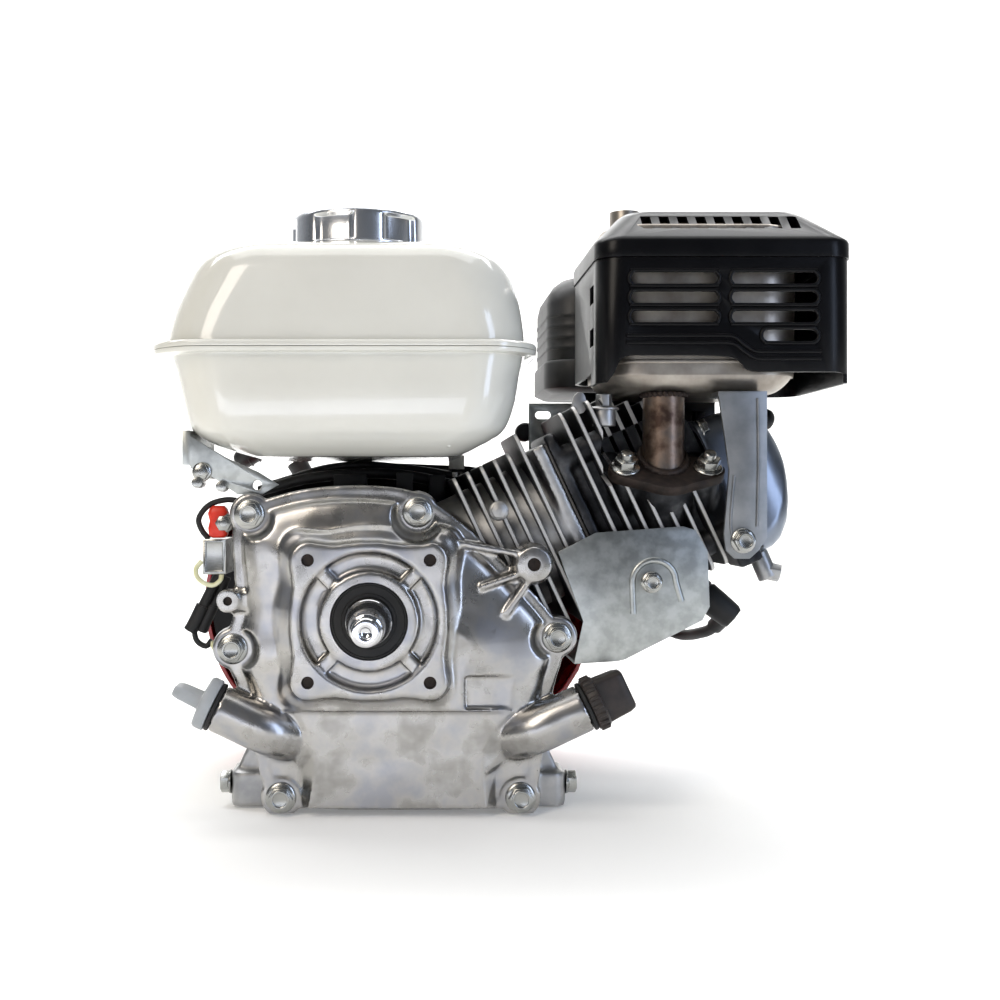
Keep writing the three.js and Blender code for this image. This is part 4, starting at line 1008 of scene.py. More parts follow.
class ENGINE_OT_cylinder(Operator):
    """Cylinder head, head gasket and the cooling fins of barrel and head"""
    bl_idname = "engine.cylinder"
    bl_label = "Cylinder head and fins"

    def execute(self, context):
        thick = in_mm(settings().fin_thickness)
        add = [loft_u([(DECK_U, -44, 34, -44, 30, 8), (209.7, -44, 34, -44, 30, 8)]),
               loft_u([(DECK_U, -50, 50, -50, 34, 8), (136, -50, 50, -50, 34, 8)]),
               loft_u([(205.7, -66, 24, -42, 34, 8), (HEAD_END_U, -66, 24, -42, 34, 8)]),
               shape_rod(17, PORT - PORT_OUT * 30, PORT + PORT_OUT), rod_y(16, *INTAKE_BORE, 20, 43.4),
               leaned(shape_box(196, 210, -64, -36, -62, -40)),
               shape_rod(11, PLUG_AT - PLUG_OUT * 16, PLUG_AT + PLUG_OUT)]
        add += [shape_rod(8.5, PORT + Vector((x, 0, 0)) - PORT_OUT * 24, PORT + Vector((x, 0, 0)) + PORT_OUT)
                for x in (-22, 22)]
        for v in (-44, 34):
            for y in (-44, 28):
                add.append(leaned(shape_rod(7, (134, y, v), (208, y, v))))
        trim = [exhaust_room(), shape_rod(11, PORT - PORT_OUT * 20, PORT + PORT_OUT * 5),
                rod_y(10, *INTAKE_BORE, 24, 50), rod_y(17, *INTAKE_BORE, 43, 50),
                leaned(shape_box(HEAD_END_U, 240, -80, 60, -80, 60)),
                leaned(shape_box(120, DECK_U, -80, 60, -80, 60))]
        head = casting("cylinder_head", add, [], in_mm(settings().case_voxel), 4, 0.5, trim)
        # The head's finish is painted dark, partly as painted shade between the fins.
        put(head, "sooty_aluminium", nodes=["cylinder_head"])
        # Both fin stacks take the finish with painted shade on their wide faces.
        barrel = []
        for k in range(BARREL_FINS):
            u = BARREL_FIN_U + FIN_PITCH * k
            top = 50 if u < 108 else 58
            barrel.append(fin(u, -54, top, FIN_FRONT_Y, FIN_BACK_Y, thick))
        put(plain_piece("barrel_fins", barrel), "finned_aluminium")
        plates = []
        for k in range(HEAD_FINS):
            u = HEAD_FIN_U + FIN_PITCH * k
            top = min(58, (227 - SHAFT_Z - u * math.sin(TILT)) / math.cos(TILT))
            plates.append(fin(u, -58, top, FIN_FRONT_Y, FIN_BACK_Y, thick))
        fins = new_object("head_fins", plates[0])
        for plate in plates[1:]:
            boolean(fins, [plate], "UNION")
        boolean(fins, [exhaust_room(), rod_y(21, *INTAKE_BORE, 30, 60)], "DIFFERENCE")
        put(fins, "finned_aluminium")
        gasket = cut_piece("head_gasket", [leaned(shape_box(128.3, 129.5, -49, 33, -45, 45))],
                           [leaned(shape_rod(35, (120, CYLINDER_Y, 0), (140, CYLINDER_Y, 0)))], 0)
        put(gasket, "fibre_gasket", nodes=["head_gasket"])
        tab = slab(smooth_outline([(113, 219), (121, 219), (121, 229), (117.5, 232), (113.5, 229)], 2), -47,
                   -44)
        lugs = [tab, aimed_bolt((131, -46, 221), (0, 0, 1), 8, 8.4, 9), rod_z(6.6, 131, -46, 212, 222),
                aimed_bolt((71, -58, 164.5), (0, -1, 0), 8, 5.5, 4),
                shape_rod(5.6, (219, -40, 141), (225, -42, 126), 32, 0.8),
                hexagon(9, (222, -41.5, 131), (231, -43, 129))]
        put(plain_piece("cylinder_lugs", lugs, 0.3), "dull_cast_aluminium")
        plug = [(0, -14), (5.9, -14), (5.9, 0.3), (8.5, 0.3), (9, 1), (9, 8), (7, 9), (7, 10), (5.4, 11),
                (5.4, 12), (4.9, 12.4), (5.4, 13), (5.4, 14), (4.9, 14.4), (5.2, 15), (4.6, 22), (0, 24)]
        put(plain_piece("spark_plug", [shape_turned(plug, PLUG_AT, PLUG_OUT, 40),
                                       hexagon(18, PLUG_AT + PLUG_OUT * 1, PLUG_AT + PLUG_OUT * 8)]),
            "zinc_plated_steel", nodes=["spark_plug"])
        return {"FINISHED"}


class ENGINE_OT_rocker_cover(Operator):
    """Pressed rocker cover with its flange, bolts and breather hose"""
    bl_idname = "engine.rocker_cover"
    bl_label = "Rocker cover"

    def execute(self, context):
        levels = [(212, -68, 22, -40, 34, 12), (214, -68, 22, -40, 34, 12),
                  (214.4, -64, 19.5, -37.5, 31.5, 12), (226, -63.6, 19.2, -37.4, 31.4, 13),
                  (232, -61.4, 18.8, -37, 31, 14), (239, -55, 18, -36, 30, 14),
                  (244.5, -46.4, 15.6, -34.4, 28.4, 14), (249, -37, 11, -31.6, 25.6, 13),
                  (252, -29.6, 4.6, -28, 22, 12), (253.6, -24, -2, -24, 18, 10)]
        cover = cut_piece("rocker_cover", [loft_u(levels, 12),
                                           shape_rod(5.5, (224, 10, 211), (235, 10, 216))],
                          [loft_u([(u - 2.5, v0 + 3, v1 - 3, y0 + 3, y1 - 3, 8)
                                   for u, v0, v1, y0, y1, _ in levels[2:]], 8)], 0.8, 3)
        put(cover, "silver_paint", nodes=["rocker_cover"], angle=50)
        bolts = [aimed_bolt(bore_point(214, v, y), ALONG, 8, 5.6, 5) for v in (-62, 16) for y in (-34, 28)]
        put(plain_piece("rocker_bolts", bolts, 0.15), "zinc_plated_steel")
        route = [(236.3, 10, 216.7), (238.3, 10.3, 217.9), (241, 18, 221.5), (241, 32, 224), (239, 44, 229),
                 (237, 54, 240), (233, 62, 248), (229, 66, 250), (226.6, 66.5, 250)]
        put(plain_piece("breather_hose", [shape_tube(route, 4.5, 24, 1.5)]), "nitrile_rubber",
            nodes=["breather_hose"])
        return {"FINISHED"}


PIPE_RADIUS, PIPE_BORE, PIPE_BEADS, FLANGE_HOLES = 11.5, 9.5, 26, (-23, 23)


class ENGINE_OT_exhaust(Operator):
    """Exhaust pipe with its flange and nuts, the silencer and its strap"""
    bl_idname = "engine.exhaust"
    bl_label = "Exhaust"

    def execute(self, context):
        turn = facing(PORT_OUT).to_4x4()
        seat = PORT + PORT_OUT * 0.5
        place = Matrix.Translation(seat) @ turn
        ring = []
        for cx, cy, r, a0, a1 in ((23, 0, 9.5, -55, 55), (0, 0, 19, 55, 125), (-23, 0, 9.5, 125, 235),
                                  (0, 0, 19, 235, 305)):
            for k in range(10):
                a = math.radians(a0 + (a1 - a0) * k / 9)
                ring.append((cx + r * math.cos(a), cy + r * math.sin(a)))
        flange = shape_skin([[(x, y, z) for x, y in ring] for z in (0, 6)])
        flange_piece = cut_piece("exhaust_flange", [moved(flange, place)], [], 0.7)
        put(flange_piece, "scaled_steel")
        pipe = new_object("exhaust_pipe", shape_rod(PIPE_RADIUS, (*EXHAUST_PIPE, 178),
                                                    (*EXHAUST_PIPE, 230.2), 64))
        below = shape_rod(60, seat - PORT_OUT * 50, seat + PORT_OUT * 0.5)
        boolean(pipe, [below, shape_rod(PIPE_BORE, (*EXHAUST_PIPE, 196), (*EXHAUST_PIPE, 240), 48)],
                "DIFFERENCE")
        put(pipe, "heat_tinted_steel", nodes=["exhaust_pipe"])
        beads = []
        foot = []
        for k in range(41):
            a = 2 * math.pi * k / 40
            x, y = EXHAUST_PIPE[0] + 12.6 * math.cos(a), EXHAUST_PIPE[1] + 12.6 * math.sin(a)
            foot.append(Vector((x, y, seat.z + (6.4 - PORT_OUT.y * (y - seat.y)) / PORT_OUT.z)))
        beads.append(shape_tube(foot, 2.0, 14, 1.2))
        beads += [shape_turned([(0, -1.9), (1.7, -1.4), (2.3, 0), (1.7, 1.4), (0, 1.9)], p, PORT_OUT, 10)
                  for p in foot[::2]]
        for k in range(PIPE_BEADS):
            a = 2 * math.pi * k / PIPE_BEADS
            beads.append(shape_turned([(0, -1.5), (1.4, -1), (1.9, 0), (1.4, 1), (0, 1.5)],
                                      (EXHAUST_PIPE[0] + 11.8 * math.cos(a),
                                       EXHAUST_PIPE[1] + 11.8 * math.sin(a), 229.3), (0, 0, 1), 10))
        put(plain_piece("weld_beads", beads), "scaled_steel")
        nuts = []
        for x in FLANGE_HOLES:
            top = seat + Vector((x, 0, 0)) + PORT_OUT * 6
            nuts += [aimed_bolt(top, PORT_OUT, 11.4, 8.2, 6.6),
                     shape_rod(3.6, top, top + PORT_OUT * 10.5, 32, 0.6)]
        put(plain_piece("exhaust_nuts", nuts, 0.2), "zinc_plated_steel")
        levels = [(230.5, 146, 226, -50, 22, 18), (231.6, 141, 230, -54, 26, 20),
                  (235, 136, 234.6, -57.6, 30, 22), (240, 131.6, 238.6, -59.6, 33, 24),
                  (247, 130, 240, -60, 34, 24), (316, 130, 240, -60, 34, 24), (322, 134, 236, -56, 30, 22),
                  (326, 142, 228, -48, 22, 20)]
        body = cut_piece("muffler_body", [shape_loft(levels, 12, 4), rod_z(9, *TAILPIPE, 318, 344)],
                         [rod_z(7, *TAILPIPE, 322, 350)], 0.8, 3)
        paint(body, 1, lambda c, n: c.z > 327)
        put(body, ["aluminised_steel", "heat_tinted_steel"], nodes=["muffler_body"])
        shield = cut_piece("heat_shield", [shape_box(128, 214, 37, 38.6, 204, 238),
                                           shape_box(200, 206, 30, 38, 204, 226)], [], 0.5)
        put(shield, "black_enamel")
        seam = [shape_loft([(z, 129.2, 240.8, -60.8, 34.8, 24.5),
                            (z + 2.2, 129.2, 240.8, -60.8, 34.8, 24.5)]) for z in (246, 314)]
        put(plain_piece("muffler_seams", seam, 0.6, 3), "aluminised_steel")
        outline = [(190, 229), (196, 187), (193, 152), (194, 143), (199, 138.5), (207, 138.5), (212, 143),
                   (216.5, 150), (216.5, 229)]
        strap = cut_piece("muffler_strap", [slab(outline, STRAP_Y, -66),
                                            shape_box(214.3, 216.5, -68, -60, 150, 229),
                                            shape_box(190, 216.5, -68.5, -50, 227.2, 229.8)], [], 0.5)
        put(strap, "strap_steel", nodes=["muffler_strap"])
        bead = [shape_tube([(198.5, -68.6, 184), (196.6, -68.6, 160), (197.6, -68.6, 150)], 0.8, 10),
                shape_tube([(211.5, -68.6, 226), (211.8, -68.6, 190), (211, -68.6, 156)], 0.8, 10)]
        put(plain_piece("strap_beads", bead), "strap_steel")
        bolt = plain_piece("strap_bolt", [flange_bolt(*STRAP_BOLT, -68.6, 10.5, 6.9, 6.2, 12)], 0.15)
        put(bolt, "zinc_plated_steel")
        return {"FINISHED"}


# Outside of the muffler guard, and its slots as (z, x0, x1).
GUARD_X0, GUARD_X1, GUARD_Y0, GUARD_Y1 = 124, 265, -69, 41
LID_SLOTS, LID_SLOT_PITCH = 9, 10.2
GUARD_ROWS = ((291.5, 142, 190), (291.5, 197, 244), (281, 142, 190), (281, 197, 244), (270.5, 142, 190),
              (270.5, 197, 244))


class ENGINE_OT_guard(Operator):
    """Black guard of the silencer: a slotted box and its lid"""
    bl_idname = "engine.guard"
    bl_label = "Muffler guard"

    def execute(self, context):
        sheet, edge = in_mm(settings().guard_sheet), in_mm(settings().sheet_edge)
        shell = shape_loft([(235, 124.7, 264.3, -68.3, 40.3, 14), (303, 124.7, 264.3, -68.3, 40.3, 14)], 12)
        inset = 0.7 + sheet
        hollow = shape_loft([(z, GUARD_X0 + inset, GUARD_X1 - inset, GUARD_Y0 + inset, GUARD_Y1 - inset, 12)
                             for z in (230, 310)], 12)
        opening = slab(smooth_outline([(118, 226), (124, 229), (133, 238), (137, 249.4), (150, 249.4),
                                       (196, 249.4), (202, 246), (206, 240.4), (222, 240.4), (275, 240.4),
                                       (275, 226)], 2), -80, -60)
        cuts = [hollow, opening, shape_box(118, 200, -40, 60, 228, 242)]
        cuts += [slot_shape(x0, x1, z - 3.4, z + 3.4, -75, -60) for z, x0, x1 in GUARD_ROWS]
        cuts.append(slot_shape(214, 244, 257, 263.5, -75, -60))
        cuts += [shape_box(118, 132, -50, -36, z - 5, z + 5) for z in (262, 286)]
        guard = cut_piece("muffler_guard", [shell], cuts, edge)
        put(guard, "black_enamel", nodes=["muffler_guard"])
        frames = []
        for z, x0, x1 in GUARD_ROWS + ((260.25, 214, 244),):
            r = 4.1
            path = []
            for cx, start in ((x1 - 3.4, -90), (x0 + 3.4, 90)):
                path += [(cx + r * math.cos(math.radians(start + 22.5 * k)), -68.4,
                          z + r * math.sin(math.radians(start + 22.5 * k))) for k in range(9)]
            frames.append(shape_tube(path + [path[0], path[1]], 1.1, 10, 1.2))
        for lift in (0, 3.8):
            path = [(140, 256.3), (160, 256.3), (180, 256.3), (197, 256.1), (203, 252.3), (209.5, 248.1),
                    (216, 247.6), (230, 247.6), (246, 247.6)]
            frames.append(shape_tube([(x, -68.3, z + lift) for x, z in path], 1.2, 12, 1.5))
        put(plain_piece("guard_embossing", frames), "black_enamel")
        lid_levels = [(z, GUARD_X0, GUARD_X1, GUARD_Y0, GUARD_Y1, 14) for z in (303.3, 311.6)]
        lid_levels += [ (313.4, 124.6, 264.4, -68.2, 40.4, 14),
                      (315, 126, 262.8, -66.4, 38.6, 14), (329.6, 139.6, 246.6, -50, 25.4, 13),
                      (332.6, 143.6, 242, -46, 21, 12.5), (334, 149, 236, -41, 16, 12)]
        inner = [(z - sheet, x0 + sheet, x1 - sheet, y0 + sheet, y1 - sheet, r - sheet)
                 for z, x0, x1, y0, y1, r in lid_levels]
        inner[0] = (300, *inner[0][1:])
        cuts = [shape_loft(inner, 12), rod_z(11, *TAILPIPE, 310, 350)]
        cuts += [shape_box(150.4 + LID_SLOT_PITCH * k, 156 + LID_SLOT_PITCH * k, -68, -40, 320.2, 328.8)
                 for k in range(LID_SLOTS)]
        lid = cut_piece("muffler_guard_lid", [shape_loft(lid_levels, 12)], cuts, edge)
        put(lid, "black_enamel", nodes=["muffler_guard_lid"])
        return {"FINISHED"}


TANK_WALL = 2.0
CAP_RADIUS, CAP_LOBES, LOBE_DEPTH, LOBE_TURN = 41.4, 6, 3.4, 1.384


class ENGINE_OT_tank(Operator):
    """Fuel tank in two pressed halves with a rolled seam, its cap, gasket and bracket"""
    bl_idname = "engine.tank"
    bl_label = "Fuel tank"

    def execute(self, context):
        wall = TANK_WALL
        low = [(195, -66, 47, -53, 49, 16), (196.7, -73, 52.6, -58, 53, 19),
               (200.4, -85, 60.3, -65, 59, 23), (205, -94.8, 69, -70, 64.5, 26),
               (211, -101, 75.6, -73.5, 67.5, 28), (224.6, -104.5, 80.6, -75.5, 69.5, 29),
               (239.7, -108, 83, -76.8, 71, 30), (252.8, -111.5, 85.6, -77.6, 72, 30)]
        inner = [(z + wall, x0 + wall, x1 - wall, y0 + wall, y1 - wall, r - wall)
                 for z, x0, x1, y0, y1, r in low]
        inner[-1] = (256, *inner[-1][1:])
        rim = shape_loft([(250.2, -119.5, 91, -80.5, 76.5, 31), (250.6, -120.6, 92.1, -81.6, 77.6, 32),
                          (252.8, -121, 92.5, -82, 78, 32)], 16)
        lower = cut_piece("fuel_tank_lower", [shape_loft(low, 16, 5), rim, rod_z(5, 52, 46, 190, 206)],
                          [shape_loft(inner, 16, 5), rod_z(3, 52, 46, 180, 210)], 0.5)
        put(lower, "white_enamel", nodes=["fuel_tank_lower"], angle=50)
        high = [(253.2, -113.5, 86, -78, 72, 30), (264, -112.4, 85.6, -77.6, 71.6, 32),
                (278, -109, 84, -76, 70, 34), (292, -104, 81, -73, 67, 36),
                (300, -100.4, 77.8, -70.5, 64.5, 36), (305.5, -96.6, 74, -67.5, 61.5, 35),
                (310, -91, 68, -63, 57, 33), (313.5, -82.6, 59.4, -56, 50, 29), (316, -71, 47, -46, 40, 24),
                (317, -58, 34, -35, 29, 20)]
        inner = [(z - wall, x0 + wall, x1 - wall, y0 + wall, y1 - wall, r - wall)
                 for z, x0, x1, y0, y1, r in high]
        inner[0] = (250, *inner[0][1:])
        rim = shape_loft([(253.2, -121, 92.5, -82, 78, 32), (255.4, -121, 92.5, -82, 78, 32),
                          (256.6, -120, 91.5, -81, 77, 31.5), (257, -118, 89.5, -79, 75, 31)], 16)
        neck = turned_z([(27, 306), (30.5, 306), (30.5, 320.5), (30, 321.6), (29, 322), (27.4, 321.6),
                         (27, 320.5)], *TANK_CAP)
        upper = cut_piece("fuel_tank_upper", [shape_loft(high, 16, 5), rim, rod_z(30, *TANK_CAP, 306, 314)],
                          [shape_loft(inner, 16, 5), rod_z(27, *TANK_CAP, 300, 330)], 0.5)
        put(upper, "white_enamel", nodes=["fuel_tank_upper"], angle=50)
        put(plain_piece("filler_neck", [neck]), "chrome_plate")
        arcs = [shape_tube([(x0, -63, 200.5), ((x0 + x1) / 2, -66, 205.4), (x1, -63, 200.5)], 1.4, 12)
                for x0, x1 in ((-60, -32), (17, 44))]
        put(plain_piece("tank_ribs", arcs), "white_enamel")
        rows = ((318.2, 0, 1.4), (319, 0, 0.5), (320.4, 0, 0.3), (321.6, 1, 0.3), (335, 1, 0.4),
                (336.4, 0, 0.5), (338, 0, 1.1), (339.6, 0, 2.6), (340.4, 0, 4.6))
        rings = []
        for z, lobed, inset in rows:
            ring = []
            for k in range(240):
                a = 2 * math.pi * k / 240
                wave = math.cos(CAP_LOBES * (a + LOBE_TURN))
                dip = LOBE_DEPTH * (0.5 - 0.5 * math.tanh(5 * (wave - 0.1))) * lobed
                reach = CAP_RADIUS - dip - inset
                ring.append((TANK_CAP[0] + reach * math.cos(a), TANK_CAP[1] + reach * math.sin(a), z))
            rings.append(ring)
        skirt = shape_skin(rings)
        crown = turned_z([(0, 334), (34, 334), (35.6, 340), (34, 340.9), (24, 341.2), (22, 340.6),
                          (0, 340.6)], *TANK_CAP, 96)
        cap = cut_piece("fuel_cap", [skirt, crown], [rod_z(32, *TANK_CAP, 316, 333)], 0.35)
        put(cap, "chrome_plate", "fuel_cap", ["fuel_cap"])
        seal = turned_z([(24, 324), (31.5, 324), (31.5, 326.5), (24, 326.5)], *TANK_CAP)
        put(plain_piece("fuel_cap_gasket", [seal], 0.4), "nitrile_rubber", "fuel_cap_seat",
            ["fuel_cap_gasket"])
        outline = [(-100, 206), (-100, 189.7), (-87, 183), (-73.5, 173.6), (-60, 173.6), (-50.8, 179),
                   (-62, 186), (-80, 194)]
        bracket = cut_piece("tank_bracket", [slab(outline, -58, -54.5),
                                             shape_box(-104, -99.6, -58, 30, 190, 209),
                                             shape_box(-100, -84, -55, 30, 188, 191)],
                            [rod_y(2.7, -62.6, 178.8, -70, -50)], 0.5)
        put(bracket, "galvanised_steel", nodes=["tank_bracket"])
        studs = [aimed_bolt((-93, -58, 186), (0, -1, 0), 8, 5.4, 5), rod_y(3, -82, 178, -62, -50),
                 rod_y(3, -95, 180, -64, -50), aimed_bolt((-93, -20, 188), (0, 0, -1), 8, 6.5, 5),
                 aimed_bolt((78, -20, 250), (0, 0, -1), 8, 6.5, 5)]
        put(plain_piece("bracket_fasteners", studs, 0.2), "zinc_plated_steel")
        return {"FINISHED"}


class ENGINE_OT_shroud(Operator):
    """Galvanised air shroud under the cylinder"""
    bl_idname = "engine.shroud"
    bl_label = "Cylinder shroud"

    def execute(self, context):
        face = [(103.3, 142), (124, 152.5), (172, 156), (178.7, 154), (185.3, 142.5), (186.4, 112),
                (182.5, 104.5), (140, 83), (136, 82), (112, 80.5), (117, 104)]
        under = [(112, 80.5), (136, 82), (140, 83), (182.5, 104.5), (186.4, 112), (185, 113), (181.5, 106),
                 (139.5, 84.6), (136, 83.6), (112.5, 82)]
        shroud = cut_piece("cylinder_shroud", [slab(face, SHROUD_Y, -62), slab(under, SHROUD_Y, 34)], [],
                           0.6, 3)
        put(shroud, "galvanised_steel", nodes=["cylinder_shroud"])
        arch = [(144.6, -62.2, 108)] + [(156 + 12 * math.cos(a), -62.2, 125.4 + 12 * math.sin(a))
                                        for a in (math.pi * (1 - k / 8)
                                                  for k in range(9))] + [(171, -62.2, 115)]
        put(plain_piece("shroud_embossing", [shape_tube(arch, 2.2, 24, 1.5)]), "galvanised_steel", angle=50)
        bolt = plain_piece("shroud_bolt", [flange_bolt(*SHROUD_BOLT, -63.6, 9, 6, 5.4, 8)], 0.15)
        put(bolt, "zinc_plated_steel")
        return {"FINISHED"}


class ENGINE_OT_electrics(Operator):
    """Oil level unit, its terminal boot, leads and tie on the left of the crankcase"""
    bl_idname = "engine.electrics"
    bl_label = "Leads and boot"

    def execute(self, context):
        lead = in_mm(settings().cable) / 2
        y = -57
        unit = cut_piece("oil_level_unit", [shape_box(-92, -79.4, -62, -24, 129.5, 149)],
                         [shape_box(-90.2, -81.2, -66, -61.2, 131.4, 147)], 0.9, 3)
        put(unit, "zinc_plated_steel", nodes=["oil_level_unit"])
        loop = shape_tube([(-71.6, y, 169.9), (-80, y, 170.6), (-89.3, y, 167.7), (-94.9, y, 160.5),
                           (-93.4, y, 154), (-89.3, y, 149)], lead, 16, 1.0)
        small = shape_tube([(-97.5, y, 98), (-96, y, 92.5), (-91, y, 89.6), (-87.7, y, 93)], lead, 16, 1.0)
        put(plain_piece("black_leads", [loop, small]), "nitrile_rubber")
        boot = shape_skin([rounded_ring(z, -84 - w, -84 + w, y - d, y + d, 2.6, 6)
                           for z, w, d in ((149.6, 3.6, 3.8), (151, 5.0, 5), (155, 5.4, 5.6),
                                           (159, 4.6, 4.8), (163, 5.6, 5.4), (166, 4.6, 4.6),
                                           (167.4, 3.2, 3.2))])
        put(plain_piece("terminal_boot", [boot], 0.6), "red_vinyl")
        nut = aimed_bolt((-80.2, -60, 157.8), (0, -1, 0), 8, 5.4, 6)
        put(plain_piece("terminal_nut", [nut], 0.15), "zinc_plated_steel")
        loom = [shape_tube([(-72, 34, 176), (-40, 28, 184), (0, 22, 187), (30, 26, 184), (56, 34, 178)],
                           3.4, 16, 2), shape_tube([(-66, 44, 180), (-20, 44, 192), (24, 44, 190),
                                                    (60, 46, 184)], 2.6, 16, 2),
                shape_box(-24, -4, 10, 30, 176, 186), shape_box(14, 24, 0, 20, 176, 187),
                shape_box(34, 44, 20, 34, 168, 186)]
        put(plain_piece("wiring_loom", loom, 0.5), "black_nylon")
        tie = [shape_tube([(-92.6, y - 4, 137), (-95.6, y - 5, 133), (-95, y - 6, 128.4),
                           (-91, y - 6, 124.8), (-86, y - 6, 123.8), (-82.4, y - 5, 126.4),
                           (-82, y - 3, 129)], 1.5, 12, 1, 0.7),
               shape_tube([(-88, y, 92.4), (-86, y, 88), (-83, y, 85.8)], lead, 14, 1)]
        put(plain_piece("cable_tie", tie), "cream_vinyl")
        sleeves = [shape_tube([(-84, y, 129), (-88.5, y, 120), (-94.5, y, 108), (-99.8, y, 98.5)], 2.9, 18,
                              1.2), shape_tube([(-80, y + 2, 128), (-84, y + 2, 118), (-90, y + 2, 107),
                                                (-93.8, y + 2, 97.4)], 2.7, 18, 1.2),
                   shape_tube([(-92.7, y, 112), (-97, y, 103), (-99.8, y, 98)], 3.8, 18, 1.2),
                   shape_tube([(-87.6, y + 2, 112), (-91.5, y + 2, 104), (-93.8, y + 2, 98)], 3.6, 18, 1.2)]
        put(plain_piece("lead_sleeves", sleeves), "nitrile_rubber")
        return {"FINISHED"}


def fan_outline(inset):
    """Scroll of the fan cover."""
    made = []
    for angle, radius in ((90, 88), (103, 91), (115, 94), (128, 98.5), (140, 103), (152, 107), (165, 110),
                          (178, 111), (190, 111), (203, 110.4), (215, 109), (228, 106.8), (240, 104),
                          (253, 102), (265, 100), (285, 102)):
        a = math.radians(angle)
        made.append(((radius - inset) * math.cos(a), SHAFT_Z + (radius - inset) * math.sin(a)))
    made += [(96 - inset * 0.5, 22 + inset), (140 - inset, 62 + inset * 0.6),
             (140 - inset, 150 - inset * 0.4), (96 - inset * 0.5, 190 - inset)]
    return smooth_outline(made, 2)


# The starter: where the handle rests, the way of its pull, and how many slots and blades there are.
HANDLE_AT = Vector((-62, 148, 204))
PULL = Vector((-0.5, 0, math.sqrt(0.75)))
FACE_SLOTS, RIM_SLOTS, FAN_BLADES = 14, 20, 12


